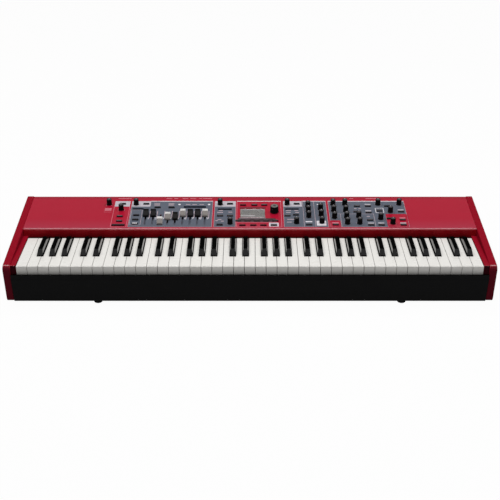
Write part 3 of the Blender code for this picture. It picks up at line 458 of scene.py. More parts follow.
# Finishes of the record's slots, then of the print, the display, the knobs, the drawbars and the lenses
RED = (0.355, 0.0045, 0.0235)
BLACK = (0.0100, 0.0100, 0.0102)
# Dark stick behind the white caps, which also serves as the lip's painted shadow on the keys
KEY_STICK_AND_SHADOW = (0.03, 0.012, 0.012)
STEM_BLACK = (0.004, 0.004, 0.005)
LOOKS = {
    # Red paint takes a painted-sheen red and a painted-shade red for its lip face; red wood takes
    # painted-shade reds for its front and ledge front
    "red_paint": lacquer("red_paint", RED, (0.345, 0.022, 0.048), (0.34, 0.005, 0.011)),
    "red_wood": stained_wood("red_wood", (0.25, 0.004, 0.014), (0.13, 0.008, 0.016), (0.035, 0.003, 0.006)),
    "black_paint": plain("black_paint", BLACK, 0.6, 0.8 * mm, 0.06 * mm, 0.1, specular=0.02),
    "foot_rubber": plain("foot_rubber", (0.010, 0.010, 0.010), 0.8, 1.2 * mm, 0.08 * mm, 0.1, specular=0.05),
    "chassis_metal": brushed("chassis_metal", (0.5, 0.5, 0.51), 0.35),
    "circuit_board": solder_mask("circuit_board", (0.01, 0.12, 0.05), (0.03, 0.22, 0.09)),
    "screen": liquid_crystal("screen", (0.060, 0.042, 0.040)),
    "grey_plastic": plain("grey_plastic", (0.30, 0.30, 0.32), 0.45, specular=0.2),
    "button_rubber": plain("button_rubber", (0.010, 0.009, 0.011), 0.5, specular=0.06),
    "white_plastic": ivory("white_plastic", (0.745, 0.730, 0.695)),
    "black_gloss_plastic": ebony("black_gloss_plastic", (0.0022, 0.0022, 0.0022)),
    "black_plastic": plain("black_plastic", (0.0045, 0.0045, 0.005), 0.5, specular=0.05),
}
CLEAR = Finish("clear_window", (0.95, 0.97, 0.95), 0.05, transmission_weight=1.0, ior=1.45)
CLEAR.bump(CLEAR.noise(8 * mm, 1), 0.004 * mm)
SLATE = printed("slate_print", (0.098, 0.110, 0.140), spread=0.05)
PALE = printed("pale_print", (0.47, 0.44, 0.48))
WHITE = printed("white_print", (0.68, 0.65, 0.69), 0.5)
LINE = printed("line_print", (0.46, 0.36, 0.39))
ROSE = printed("rose_print", (0.62, 0.22, 0.27))
PANE = plain("dark_pane", (0.004, 0.006, 0.011), 0.3, specular=0.0)
SHADOW = printed("shadow_print", (0.052, 0.036, 0.041), spread=0.08, specular=0.02)
BROW = printed("brow_print", (0.15, 0.030, 0.038), spread=0.05, specular=0.02)
SILL = printed("sill_print", (0.30, 0.26, 0.28), spread=0.05, specular=0.02)
INK = plain("display_ink", (0.040, 0.040, 0.040), 0.5, specular=0.0)
# Painted highlight bands on the display
PAINTED_GLINT = plain("display_light", (0.27, 0.23, 0.25), 0.5, specular=0.0)
# Knob tops: a grey cap made lighter to stand for the highlight on it, partly painted highlight
KNOB_CAP_AND_HIGHLIGHT = plain("knob_cap", (0.046, 0.043, 0.045), 0.45, specular=0.06)
DIAL_CAP = plain("dial_cap", (0.145, 0.135, 0.125), 0.45, specular=0.08)
# Drawbars: the second colour of each is the painted shade on its slope
DRAWBAR_WHITE = drawbar_plastic("drawbar_white", (0.62, 0.60, 0.58), (0.215, 0.195, 0.185))
# White ridge: a lighter copy of the drawbars' white plastic, painted light
LIT_RIDGE_WHITE = plain("ridge_white", (0.78, 0.76, 0.74), 0.4, spread=0.03)
DRAWBAR_BLACK = drawbar_plastic("drawbar_black", (0.010, 0.009, 0.010), (0.0045, 0.004, 0.0045))
LENSES = {
    "lit": lens("lens_lit", (0.72, 0.69, 0.72), 0.1),
    "striped": lens("lens_striped", (0.062, 0.056, 0.060), 0.0),
    "grey": lens("lens_grey", (0.085, 0.078, 0.082), 0.0),
    "soft": lens("lens_soft", (0.080, 0.055, 0.058), 0.0),
    "red": lens("lens_red", (0.13, 0.005, 0.010), 0.0),
    "dark": lens("lens_dark", (0.012, 0.011, 0.014), 0.0),
}


# Shapes, with the angles at which shading breaks, faces join and edges are eased
SHARP_ANGLE = math.radians(32)
FLAT_ANGLE = math.radians(0.3)
EASED_ANGLE = math.radians(30)
WELD_REACH = 0.002 * mm


def material_of(look):
    """Material of a finish, or of the finish that a slot's name stands for."""
    return (look if isinstance(look, Finish) else LOOKS[look]).material


def to_object(name, bm, look, body, smooth=True, replaces=()):
    """Piece from a bmesh, with its finish and the body it rides on."""
    bmesh.ops.recalc_face_normals(bm, faces=bm.faces)
    mesh = bpy.data.meshes.new(name)
    bm.to_mesh(mesh)
    bm.free()
    if smooth:
        mesh.shade_smooth()
        mesh.set_sharp_from_angle(angle=SHARP_ANGLE)
    mesh.materials.append(material_of(look))
    piece = bpy.data.objects.new(name, mesh)
    bpy.context.scene.collection.objects.link(piece)
    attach(piece, body)
    if replaces:
        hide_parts(*replaces)
    return piece


def add_plate(bm, loops, low, high, matrix=DECK):
    """Flat plate between two heights: the first loop is its edge, the others are holes."""
    edges = []
    for loop in loops:
        ring = [bm.verts.new((u, v, low)) for u, v in loop]
        edges += [bm.edges.new((ring[i - 1], ring[i])) for i in range(len(ring))]
    filled = bmesh.ops.triangle_fill(bm, use_beauty=True, edges=edges)["geom"]
    faces = [item for item in filled if isinstance(item, bmesh.types.BMFace)]
    base = {vert for face in faces for vert in face.verts}
    made = bmesh.ops.extrude_face_region(bm, geom=faces)["geom"]
    lifted = [item for item in made if isinstance(item, bmesh.types.BMVert)]
    bmesh.ops.translate(bm, verts=lifted, vec=(0, 0, high - low))
    bmesh.ops.transform(bm, matrix=matrix, verts=list(base) + lifted)


def add_rings(bm, rings, matrix=DECK):
    """Closed skin through a stack of rings with the same number of points."""
    rows = [[bm.verts.new(matrix @ Vector(point)) for point in ring] for ring in rings]
    for low, high in zip(rows, rows[1:]):
        for i in range(len(low)):
            bm.faces.new((low[i - 1], low[i], high[i], high[i - 1]))
    bm.faces.new(rows[0][::-1])
    bm.faces.new(rows[-1])


def add_turned(bm, profile, sides, spot, flutes=0, depth=0.0):
    """Round form through (radius, height, fluted) points about a place."""
    rings = []
    for radius, height, fluted in profile:
        ring = []
        for side in range(sides):
            angle = 2 * math.pi * side / sides
            reach = radius - (depth * (0.5 + 0.5 * math.cos(flutes * angle)) if fluted else 0.0)
            across = spot[0] * mm + reach * math.cos(angle)
            along = spot[1] * mm + reach * math.sin(angle)
            ring.append((across, along, height))
        rings.append(ring)
    add_rings(bm, rings)


def rounded_box(u0, u1, v0, v1, radius=1.0, steps=4):
    """Loop of a rectangle with round corners, from sizes in millimetres."""
    loop = []
    for corner, (u, v) in enumerate([(u1, v1), (u0, v1), (u0, v0), (u1, v0)]):
        centre = (u - radius if u == u1 else u + radius, v - radius if v == v1 else v + radius)
        for step in range(steps + 1):
            angle = math.pi / 2 * (corner + step / steps)
            across = centre[0] + radius * math.cos(angle)
            along = centre[1] + radius * math.sin(angle)
            loop.append((across * mm, along * mm))
    return loop


def circle(u, v, radius, sides=24, turn=0.0):
    """Loop of a circle about a place, with its radius in metres."""
    angles = [turn + 2 * math.pi * side / sides for side in range(sides)]
    return [(u * mm + radius * math.cos(a), v * mm + radius * math.sin(a)) for a in angles]


def about(u, v, width, length):
    """Rectangle about a middle point."""
    return u - width / 2, u + width / 2, v - length / 2, v + length / 2


def deck_openings():
    """Openings of the deck as (rectangle around it, loop)."""
    found = []
    reach = SHAFT_HOLE / mm
    for u, v in KNOBS + [DIAL_PLACE]:
        found.append((about(u, v, 2 * reach, 2 * reach), circle(u, v, SHAFT_HOLE)))
    for buttons in BUTTONS.values():
        for u, v, width, _ in buttons:
            around = about(u, v, width + 2 * SLOT_PLAY, BUTTON_LENGTH + 2 * SLOT_PLAY)
            found.append((around, rounded_box(*around, 0.4, 2)))
    slot_middle = sum(DRAWBAR_SLOT) / 2
    slot_length = DRAWBAR_SLOT[1] - DRAWBAR_SLOT[0]
    for u in DRAWBARS:
        around = about(u, slot_middle, STEM_WIDTH + 2 * SLOT_PLAY, slot_length)
        found.append((around, rounded_box(*around, 0.3, 1)))
    found.append((WINDOW, rounded_box(*WINDOW, 0.3, 1)))
    return found


OPENINGS = deck_openings()


def meets_opening(box):
    """Whether a rectangle overlaps the rectangle around any opening."""
    u0, u1, v0, v1 = box
    return any(a < u1 and b > u0 and c < v1 and d > v0 for (a, b, c, d), _ in OPENINGS)


def film(name, look, box, low=HAIR, high=FILM, radius=1.5):
    """Printed area of the deck, with a hole for each opening that lies wholly inside it."""
    u0, u1, v0, v1 = box
    holes = [loop for (a, b, c, d), loop in OPENINGS if u0 < a and b < u1 and v0 < c and d < v1]
    bm = bmesh.new()
    add_plate(bm, [rounded_box(*box, radius)] + holes, low, high)
    to_object(name, bm, look, "housing", smooth=False)


def outlines(name, look, boxes, width=HAIRLINE, radius=1.5):
    """Rectangles drawn as thin lines."""
    bm = bmesh.new()
    for u0, u1, v0, v1 in boxes:
        outer = rounded_box(u0, u1, v0, v1, radius)
        inner = rounded_box(u0 + width, u1 - width, v0 + width, v1 - width, max(radius - width, 0.2))
        add_plate(bm, [outer, inner], HAIR, MARK)
    to_object(name, bm, look, "housing", smooth=False)


def marks(name, look, boxes, low=HAIR, high=MARK, radius=0.3, body="housing"):
    """Several small printed bars, dots or lines, or the small flat plates of a body."""
    bm = bmesh.new()
    for box in boxes:
        add_plate(bm, [rounded_box(*box, radius, 2)], low, high)
    to_object(name, bm, look, body, smooth=False)


def refined(node, look, bevel=0.4 * mm, segments=2):
    """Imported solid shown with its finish, with its edges eased."""
    piece = nodes[node]
    piece.data.materials.clear()
    piece.data.materials.append(material_of(look))
    piece.data.shade_smooth()
    piece.modifiers.new("weld", "WELD").merge_threshold = WELD_REACH
    flat = piece.modifiers.new("flat", "DECIMATE")
    flat.decimate_type = "DISSOLVE"
    flat.angle_limit = FLAT_ANGLE
    if bevel:
        ease = piece.modifiers.new("ease", "BEVEL")
        ease.width = bevel
        ease.segments = segments
        ease.limit_method = "ANGLE"
        ease.angle_limit = EASED_ANGLE
    weigh = piece.modifiers.new("weigh", "WEIGHTED_NORMAL")
    weigh.keep_sharp = True


# Camera, as the photograph was taken
CAMERA_LENS = 79.29
CAMERA_ASIDE = 0.0003
CAMERA_BEFORE_KEYS = 2.1486
CAMERA_HEIGHT = 1.1309
CAMERA_DIP = 24.76
camera_data = bpy.data.cameras.new("camera")
camera_data.lens = CAMERA_LENS
camera_data.sensor_width = 36.0
camera_data.clip_end = 50.0
camera = bpy.data.objects.new("camera", camera_data)
camera.location = (CAMERA_ASIDE, KEY_FRONT - CAMERA_BEFORE_KEYS, CAMERA_HEIGHT)
camera.rotation_euler = (math.radians(90 - CAMERA_DIP), 0, 0)
bpy.context.scene.collection.objects.link(camera)
bpy.context.scene.camera = camera
bpy.context.scene.view_settings.view_transform = "Standard"


# Floor, sky and lamps
SKY_LIGHT = 0.16
FLOOR_REACH = 12
FLOOR_GREY = 0.34
FLOOR_WHITE_SHARE = 0.955
FLOOR_WHITE_LEVEL = 1.02


def sky():
    """White sky to the camera, in gloss and through glass, and a dim one as light."""
    world = bpy.data.worlds.new("sky")
    world.use_nodes = True
    made = Nodes(world.node_tree)
    level = SKY_LIGHT + (1 - SKY_LIGHT) * made.seen()
    ground = world.node_tree.nodes["Background"]
    made.put(ground.inputs["Color"], (1, 1, 1))
    made.put(ground.inputs["Strength"], level)
    bpy.context.scene.world = world


def floor():
    """Pale floor that looks white and still takes a shadow."""
    bm = bmesh.new()
    bmesh.ops.create_grid(bm, x_segments=1, y_segments=1, size=FLOOR_REACH)
    mesh = bpy.data.meshes.new("floor")
    bm.to_mesh(mesh)
    bm.free()
    piece = bpy.data.objects.new("floor", mesh)
    bpy.context.scene.collection.objects.link(piece)
    finish = Finish("floor", (FLOOR_GREY,) * 3, 0.9, specular_ior_level=0.0)
    cloud = finish.noise(0.4, 2)
    finish.set(base_color=finish.mix(cloud, (FLOOR_GREY - 0.01,) * 3, (FLOOR_GREY + 0.01,) * 3))
    white = finish.node("ShaderNodeEmission", None, {"Color": (1.0, 1.0, 1.0), "Strength": FLOOR_WHITE_LEVEL})
    surface = Value(finish, finish.shader.outputs[0])
    inputs = {0: FLOOR_WHITE_SHARE * finish.seen(), 1: surface, 2: white}
    both = finish.node("ShaderNodeMixShader", None, inputs)
    finish.put(finish.tree.nodes["Material Output"].inputs["Surface"], both)
    mesh.materials.append(finish.material)


def lamp(name, place, target, size, watts):
    """Rectangular lamp at a place, turned to a target and hidden from the camera."""
    data = bpy.data.lights.new(name, "AREA")
    data.shape = "RECTANGLE"
    data.size, data.size_y = size
    data.energy = watts
    item = bpy.data.objects.new(name, data)
    item.location = place
    item.rotation_euler = (Vector(target) - Vector(place)).to_track_quat("-Z", "Y").to_euler()
    item.visible_camera = False
    bpy.context.scene.collection.objects.link(item)


sky()
floor()
lamp("overhead", place=(0, 0.15, 2.4), target=(0, 0, 0.1), size=(3.0, 1.6), watts=64)
lamp("front_fill", place=(0, -3.2, 1.2), target=(0, 0, 0.1), size=(2.6, 1.0), watts=13.2)


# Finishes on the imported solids
WHITE_KEYS = ["white_keys_lower", "white_keys_upper"] + [f"key_{letter}4" for letter in "cdefgab"]
BLACK_KEYS = ["black_keys_lower", "black_keys_upper"] + [f"key_{letter}_sharp4" for letter in "cdfga"]
for node in WHITE_KEYS:
    refined(node, "white_plastic")
for node in BLACK_KEYS:
    refined(node, "black_gloss_plastic", 1.1 * mm, 3)
refined("top_panel", "red_paint", 0)
refined("rear_panel", "black_paint", 0.25 * mm)
refined("base_tray", "black_paint", 0)
for side in ("left", "right"):
    refined(f"{side}_end_cheek", "red_wood")
    for depth in ("front", "rear"):
        refined(f"foot_{depth}_{side}", "foot_rubber", 0.6 * mm)
refined("keybed_frame", "chassis_metal", 0)
refined("power_supply", "chassis_metal")
refined("contact_board", "circuit_board", 0)
refined("display_module", "screen", 0)
refined("display_window", CLEAR, 0)
refined("drawbar_housing", SLATE, 0)
refined("socket_block", "black_plastic", 0.15 * mm)
refined("power_inlet", "black_plastic", 0.3 * mm)
refined("power_rocker", "grey_plastic")
for index, colour in enumerate(DRAWBAR_COLOURS):
    refined(f"drawbar_{index + 1}", DRAWBAR_WHITE if colour == "white" else DRAWBAR_BLACK, 0.5 * mm, 3)
for pad in BUTTONS:
    refined(f"{pad}_button_pad", "button_rubber", 0.45 * mm)


# Controls board with its pots and pillars, seen only through the openings
def controls_board():
    bm = bmesh.new()
    add_plate(bm, [rounded_box(*BOARD, 2.0)], BOARD_TOP - BOARD_THICKNESS, BOARD_TOP)
    to_object("controls_board", bm, "circuit_board", "housing", replaces=("control_board",), smooth=False)
    pots = [(spot, POT_HALF, 1.0, POT_TOP) for spot in KNOBS + [DIAL_PLACE]]
    pillars = [(spot, PILLAR_HALF, 0.8, PILLAR_TOP) for spot in PILLARS]
    bm = bmesh.new()
    for (u, v), half, corner, top in pots + pillars:
        add_plate(bm, [rounded_box(*about(u, v, 2 * half, 2 * half), corner)], BOARD_TOP - HAIR, top)
    to_object("pots_and_pillars", bm, "chassis_metal", "housing", smooth=False)


controls_board()

# Printed sections of the deck, as rectangles from side to side and from front to back
SECTIONS = {
    "organ": (-281.4, -88.0, PRINT_LOW, PRINT_HIGH),
    "piano": (-83.5, -33.3, PRINT_LOW, PRINT_HIGH),
    "synth": (78.9, 181.0, PRINT_LOW, PRINT_HIGH),
    "effects": (186.0, 367.5, PRINT_LOW, PRINT_HIGH),
}
ROTARY = (-321.5, -284.5, PRINT_LOW, PRINT_HIGH)
PROGRAM = (-30.8, 73.9, PRINT_LOW, PRINT_HIGH)
SYNTH_RED = (182.9, 210.5, 7.0, 39.0)
OUTPUT_RED = (317.5, 368.0, 7.0, 70.0)
for section, box in SECTIONS.items():
    film(f"{section}_print", SLATE, box)
film("synth_red", "red_paint", SYNTH_RED, FILM, MARK)
film("output_red", "red_paint", OUTPUT_RED, FILM, MARK)
film("rotary_header", PALE, (-321.0, -285.0, 106.0, 132.5), HAIR, MARK)
film("organ_header", PALE, (-281.0, -236.0, HEADER_LOW, PRINT_HIGH), FILM, MARK)
film("piano_header", PALE, (-83.1, -33.7, HEADER_LOW, PRINT_HIGH), FILM, MARK)
film("synth_header", PALE, (79.3, 123.6, HEADER_LOW, PRINT_HIGH), FILM, MARK)
film("knob_patch", WHITE, (154.8, 176.7, 14.5, 37.0), FILM, MARK)
film("shift_patch", PALE, (44.3, 66.4, 10.5, 27.8), HAIR, FILM)
film("soft_row", SHADOW, (-28.0, 60.0, 31.2, 48.8), HAIR, MARK, 1.0)
TOP_LINES = [
    (u0, u1, PRINT_HIGH - BOLD, PRINT_HIGH + 0.4)
    for u0, u1 in ((-236.0, -88.4), (-30.8, 73.9), (123.6, 180.6), (186.4, 367.1))
]
marks("top_lines", WHITE, TOP_LINES, FILM, MARK + HAIR)
outlines("section_outlines", LINE, list(SECTIONS.values()), 0.7)
outlines("red_outlines", ROSE, [ROTARY, PROGRAM, SYNTH_RED, OUTPUT_RED])
outlines("switch_frame", LINE, [(-279.0, -253.0, 17.0, 90.0)], radius=3.0)
outlines("button_frames", WHITE, [(295.9, 315.7, 75.0, 98.5), (44.3, 66.4, 10.5, 27.8)], 1.5)
marks("section_panes", PANE, [
    (-277.3, -251.0, 91.0, 98.0), (-75.9, -42.7, 89.0, 96.5), (83.4, 115.6, 90.0, 97.0),
    (-156.8, -104.1, 99.5, 107.8),
], FILM, MARK, 0.8)
marks("display_brow", BROW, [(-24.5, 37.5, 95.6, 103.5)])
marks("display_sill", SILL, [(-24.5, 37.5, 48.4, 51.4)])
marks("soft_row_line", ROSE, [(-30.0, 63.0, 30.0, 31.2)])
marks("synth_dividers", LINE, [(125.3, 126.1, 10.0, 130.0), (151.6, 152.4, 10.0, 130.0)], FILM)
marks("effects_dividers", LINE, [
    (202.0, 291.0, 69.6, 70.4), (211.6, 212.4, 9.0, 69.6), (289.6, 290.4, 9.0, 69.6),
], FILM)
marks("drawbar_scales", LINE, [(u + 7.9, u + 9.4, 50.0, 84.0) for u in DRAWBARS], FILM)
marks("pill", WHITE, [about(136.8, 33.0, 16.0, 4.5)], FILM, MARK, 2.0)
marks("organ_labels", LINE, [
    about(u, v, 14.0, 2.0) for u in (-220.8, -187.0) for v in (112.0, 116.5, 121.0)
] + [about(u, 116.0, 11.0, 2.4) for u in (-147.0, -131.5, -114.5)], FILM, MARK, 0.8)
marks("master_label", ROSE, [
    about(-334.5, v, 16.0, 2.6) for v in (87.5, 92.0, 96.5)
] + [(-343.0, -326.0, 78.6, 79.4)])
marks("section_labels", LINE, [
    about(u, v, width, 2.8) for u, v, width in (
        (-68.5, 86.5, 10), (-70.0, 77.0, 14), (-46.0, 78.5, 9), (-70.5, 43.0, 9), (-77.0, 37.5, 6),
        (-64.0, 35.5, 7), (91.0, 86.5, 12), (109.5, 86.5, 9), (90.5, 77.0, 11), (111.0, 77.0, 9),
        (95.0, 44.0, 16), (91.5, 31.0, 12), (249.5, 96.0, 6), (260.0, 96.0, 6), (277.0, 58.0, 8),
    )
], FILM, MARK, 0.8)
marks("back_labels", ROSE, [
    about(u, 145.5, width, 2.2)
    for u, width in ((-193.5, 14), (-176.8, 10), (-155.0, 14), (-136.0, 14), (-118.5, 8), (-101.8, 22),
                     (243.8, 10), (291.0, 26), (-311.0, 10), (-295.0, 22))
], HAIR, MARK, 0.8)


def white_dots():
    """Three round dots, given as u, v and radius."""
    bm = bmesh.new()
    for u, v, radius in ((-167.7, 116.0, 3.0), (-97.0, 116.0, 3.0), (160.9, 116.0, 2.0)):
        add_plate(bm, [circle(u, v, radius * mm)], FILM, MARK)
    to_object("white_dots", bm, WHITE, "housing", smooth=False)


def scale_ticks():
    """Ring of ticks about each knob, left out where an opening lies."""
    ticks = 11
    sweep = 270
    tick = (-0.3, 0.3, 7.4, 9.0)
    clear = 2.0
    bm = bmesh.new()
    for u, v in KNOBS:
        for step in range(ticks):
            angle = math.radians(sweep * (step / (ticks - 1) - 0.5))
            turn = Matrix.Translation((u * mm, v * mm, 0)) @ Matrix.Rotation(angle, 4, "Z")
            reach = turn @ Vector((0, tick[3] * mm, 0)) / mm
            if not meets_opening(about(reach.x, reach.y, clear, clear)):
                add_plate(bm, [rounded_box(*tick, 0.15, 1)], FILM, MARK + HAIR, DECK @ turn)
    to_object("scale_ticks", bm, LINE, "housing", smooth=False)


def button_labels():
    """Bars that stand for the buttons' labels, and broad strips over the striped buttons of the effects."""
    bar_ahead = 5.6
    strip_ahead = 9.5
    bars = []
    strips = []
    for buttons in BUTTONS.values():
        for u, v, width, tone in buttons:
            bar = about(u, v + bar_ahead, 9.0, 1.6)
            strip = about(u, v + strip_ahead, width, 4.2)
            if tone == "striped" and not meets_opening(strip) and u > SECTIONS["effects"][0]:
                strips.append(strip)
            elif tone not in ("soft", "striped") and v < HEADER_LOW and not meets_opening(bar):
                bars.append(bar)
    rose_strips = [about(198.0, 27.5, 16.0, 3.6), about(355.2, 50.5, 14.0, 3.6)]
    marks("button_labels", LINE, bars, FILM, MARK + HAIR, 0.6)
    marks("button_strips", PALE, strips, FILM, MARK + HAIR, 0.8)
    marks("rose_strips", ROSE, rose_strips, FILM, MARK + HAIR, 0.8)


white_dots()
scale_ticks()
button_labels()


# Numerals beside the drawbars, whose figures fill a share of the letters' full size
NUMERAL_ASIDE = 6.2
NUMERAL_ALONG = 44.5
NUMERAL_HEIGHT = 8.5
FIGURE_SHARE = 0.7


def drawbar_numeral(number, u):
    name = f"drawbar_number_{number}"
    curve = bpy.data.curves.new(name, "FONT")
    curve.body = str(number)
    curve.size = NUMERAL_HEIGHT / FIGURE_SHARE * mm
    curve.align_x = "CENTER"
    curve.extrude = HAIR
    curve.materials.append(WHITE.material)
    piece = bpy.data.objects.new(name, curve)
    piece.matrix_world = DECK @ Matrix.Translation(((u + NUMERAL_ASIDE) * mm, NUMERAL_ALONG * mm, MARK))
    bpy.context.scene.collection.objects.link(piece)
    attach(piece, "housing")


for index, u in enumerate(DRAWBARS):
    drawbar_numeral(index + 1, u)


# Display: rows of plain blocks such as an unlit screen shows, and painted highlight bands around them
def display_rows():
    cell_pitch = 1.9
    cell_width = 1.3
    cell_height = 3.4
    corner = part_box("display_module")[1]
    level = (DECK.inverted() @ Vector((0, corner.y, corner.z))).z
    top = level + 0.1 * mm
    rows = []
    for v, pattern in ((86.0, (9, 4, 6)), (78.0, (5, 8)), (70.0, (12, 3, 7))):
        u = WINDOW[0] + 4.0
        for blocks in pattern:
            starts = [u + cell_pitch * step for step in range(blocks)]
            rows += [(start, start + cell_width, v, v + cell_height) for start in starts]
            u += cell_pitch * blocks + 3.0
    marks("display_letters", INK, rows, level, top, 0.15, "housing")
    left, right, low, high = WINDOW
    # Painted highlight bands across the display window
    painted_glints = [(left + 0.6, right - 0.6, high - 4.2, high - 0.8), (left + 1.5, right - 24.0, 61.0, 66.5),
              (left + 1.5, right - 1.0, low + 0.8, low + 5.4)]
    marks("display_bands", PAINTED_GLINT, painted_glints, level, top, 0.4, "housing")


display_rows()


# Knobs and the dial
def turned_knob(name, spot, body, radius=KNOB_RADIUS, height=KNOB_HEIGHT, cap_look=KNOB_CAP_AND_HIGHLIGHT, cap_share=0.74,
                sides=60, flutes=20, replaces=()):
    """Knob with a fluted grip, a shaft, a lighter top and a pale pointer, which is a dimple on the dial; on
    the knobs the top is made lighter in part as painted highlight.
    """
    profile = [
        (SHAFT_RADIUS, SHAFT_FOOT, 0), (SHAFT_RADIUS, KNOB_LIFT, 0), (radius - 0.2 * mm, KNOB_LIFT, 0),
        (radius, KNOB_LIFT + 0.3 * mm, 0), (radius, KNOB_LIFT + 1.2 * mm, 0),
        (radius - 0.2 * mm, KNOB_LIFT + 1.5 * mm, 1), (0.94 * radius, height - 1.3 * mm, 1),
        (0.92 * radius, height - 0.4 * mm, 0), (0.87 * radius, height, 0),
        ((cap_share + 0.02) * radius, height, 0), ((cap_share + 0.01) * radius, height - 0.5 * mm, 0),
    ]
    bm = bmesh.new()
    add_turned(bm, profile, sides, spot, flutes, FLUTE_DEPTH)
    to_object(name, bm, "black_plastic", body, replaces=replaces)
    top = cap_share * radius
    cap = [(top, height - 0.9 * mm, 0), (top, height - 0.15 * mm, 0), (top - 0.3 * mm, height + 0.1 * mm, 0),
           (0.5 * top, height + 0.2 * mm, 0)]
    bm = bmesh.new()
    add_turned(bm, cap, sides, spot)
    to_object(f"{name}_cap", bm, cap_look, body)
    u, v = spot
    if body == "program_dial":
        bm = bmesh.new()
        add_plate(bm, [circle(u, v, DIMPLE_RADIUS, 40)], height, height + 0.3 * mm)
        to_object(f"{name}_dimple", bm, KNOB_CAP_AND_HIGHLIGHT, body, smooth=False)
    else:
        pointer = (u - 0.5, u + 0.5, v + 1.2, v + radius / mm - 1.6)
        marks(f"{name}_pointer", PALE, [pointer], height, height + 0.3 * mm, 0.2, body)


for group, spots in FIXED_KNOBS.items():
    for index, spot in enumerate(spots):
        turned_knob(f"{group}_knob_{index + 1}", spot, "housing")
for index, spot in enumerate(TURNING_KNOBS):
    node = f"synth_knob_{index + 1}"
    turned_knob(f"turning_knob_{index + 1}", spot, node, replaces=(node,))
turned_knob("dial_grip", DIAL_PLACE, "program_dial", DIAL_RADIUS, DIAL_HEIGHT, DIAL_CAP, 0.82, 90, 30,
            ("program_dial",))


# Button lenses
for pad, buttons in BUTTONS.items():
    for index, (u, v, width, tone) in enumerate(buttons):
        face = about(u, v, width - LENS_SHORTER[0], BUTTON_LENGTH - LENS_SHORTER[1])
        marks(f"{pad}_lens_{index + 1}", LENSES[tone], [face], BUTTON_TOP - HAIR, LENS_TOP, 0.8,
              f"{pad}_button_pad")


# Raised finger ridge along the back of each drawbar, which on the white ones is a lighter copy of their
# plastic: painted light
def ridge(index, look):
    name = f"drawbar_{index + 1}"
    low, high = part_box(name)
    middle = (low.x + high.x) / 2
    back = (DECK.inverted() @ Vector((middle, high.y, high.z))).y
    sections = [(6.3, -5.4, -0.3, 7.0), (6.3, -5.2, -0.2, 9.8), (6.2, -2.2, -0.3, RIDGE_TOP - 0.6),
                (5.8, -1.6, -0.8, RIDGE_TOP)]
    rings = []
    for half, front, rear, height in sections:
        corners = ((-half, front), (half, front), (half, rear), (-half, rear))
        rings.append([(middle + du * mm, back + dv * mm, height * mm) for du, dv in corners])
    bm = bmesh.new()
    add_rings(bm, rings)
    piece = to_object(f"{name}_ridge", bm, look, name)
    ease = piece.modifiers.new("ease", "BEVEL")
    ease.width = 0.4 * mm
    ease.segments = 2


# White ridges take the lighter, painted-light copy of the plastic
for index, colour in enumerate(DRAWBAR_COLOURS):
    ridge(index, LIT_RIDGE_WHITE if colour == "white" else DRAWBAR_BLACK)


# Folded hem along the bottom edge of the front apron
def front_hem():
    tray = nodes["base_tray"].data.vertices
    low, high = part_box("base_tray")
    front = min(vert.co.y for vert in tray if vert.co.z < low.z + HAIR)
    section = ((-1.6, 0.9), (-1.2, -0.5), (4.0, -0.5), (4.0, 0.2))
    rings = [[(x, front + dy * mm, low.z + dz * mm) for dy, dz in section] for x in (low.x, high.x)]
    bm = bmesh.new()
    add_rings(bm, rings, Matrix())
    to_object("front_hem", bm, "black_paint", "housing")


front_hem()


# Fittings of the back, the bottom and the cheeks
def back_place(x, level):
    """Frame on the back panel: first axis to the left seen from behind, second down, third out of it."""
    return Matrix.Translation((x * mm, PANEL_FACE, level * mm)) @ BACKWARDS


def jack_trim():
    """Steel nut and washer round each jack."""
    bm = bmesh.new()
    for x in JACKS:
        spot = back_place(x, JACK_LEVEL)
        washer = [circle(0, 0, WASHER_RADIUS, 36), circle(0, 0, WASHER_BORE, 36)]
        nut = [circle(0, 0, NUT_RADIUS, 6, math.radians(15)), circle(0, 0, NUT_BORE)]
        add_plate(bm, washer, HAIR, WASHER_TOP, spot)
        add_plate(bm, nut, NUT_LOW, NUT_LOW + FITTING_STAND, spot)
    to_object("jack_nuts", bm, "chassis_metal", "housing", smooth=False)


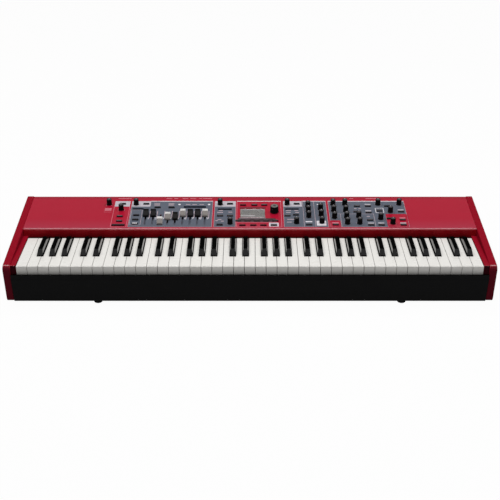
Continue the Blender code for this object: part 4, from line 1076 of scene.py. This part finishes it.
def screws(name, look, spots, radius=3.0 * mm):
    """Pan-head screws with a hexagon socket, each given by its frame."""
    sides = 24
    angles = [2 * math.pi * side / sides for side in range(sides)]
    half_flat = math.radians(30)
    head = [(radius, -0.2 * mm), (radius, 0.5 * mm), (0.8 * radius, 1.1 * mm), (0.5 * radius, 1.3 * mm)]
    socket = [(0.45 * radius, 1.25 * mm), (0.4 * radius, 0.4 * mm)]
    rings = []
    for reach, height in head:
        rings.append([(reach * math.cos(a), reach * math.sin(a), height) for a in angles])
    for reach, height in socket:
        ring = []
        for angle in angles:
            inner = reach * math.cos(half_flat) / math.cos(angle % (2 * half_flat) - half_flat)
            ring.append((inner * math.cos(angle), inner * math.sin(angle), height))
        rings.append(ring)
    bm = bmesh.new()
    for spot in spots:
        add_rings(bm, rings, spot)
    to_object(name, bm, look, "housing")


def rocker_marks():
    """Bar and ring on the two halves of the power rocker."""
    pivot_y = PANEL_FACE + FITTING_STAND - ROCKER_PIVOT
    pivot = Matrix.Translation((ROCKER_X * mm, pivot_y, ROCKER_LEVEL * mm))
    tilted = pivot @ Matrix.Rotation(ROCKER_REST, 4, "X")
    half_slope = math.atan2(ROCKER_PEAK, ROCKER_HALF)
    bm = bmesh.new()
    for side in (1, -1):
        lean = Matrix.Rotation(side * half_slope, 4, "X")
        middle = Matrix.Translation((0, ROCKER_MIDDLE * mm, side * ROCKER_HALF / 2 * mm))
        spot = tilted @ middle @ lean @ BACKWARDS
        if side > 0:
            add_plate(bm, [rounded_box(-0.4, 0.4, -2.0, 2.0, 0.2, 1)], 0, 0.15 * mm, spot)
        else:
            add_plate(bm, [circle(0, 0, 2.0 * mm), circle(0, 0, 1.3 * mm)], 0, 0.15 * mm, spot)
    to_object("rocker_marks", bm, WHITE, "power_rocker", smooth=False)


jack_trim()
rocker_marks()
screws("back_screws", "black_plastic", [
    back_place(x, z) for x in (-470.0, -235.0, 0.0, 235.0, 470.0) for z in (24.0, 108.0)
])
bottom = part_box("base_tray")[0].z
screws("bottom_screws", "chassis_metal", [
    Matrix.Translation((x * mm, LIP_FACE + y * mm, bottom)) @ DOWNWARDS
    for x in (-480.0, -240.0, 0.0, 240.0, 480.0) for y in (-130.0, 0.0, 130.0)
])
for side, sign in (("left", -1), ("right", 1)):
    outer = sign * max(abs(corner.x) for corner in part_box(f"{side}_end_cheek"))
    sideways = Matrix.Rotation(sign * math.radians(90), 4, "Y")
    spots = [Matrix.Translation((outer, LIP_FACE + y * mm, z * mm)) @ sideways
             for y, z in ((-110.0, 45.0), (20.0, 45.0), (125.0, 45.0), (125.0, 100.0))]
    screws(f"{side}_cheek_screws", "black_plastic", spots, 3.4 * mm)
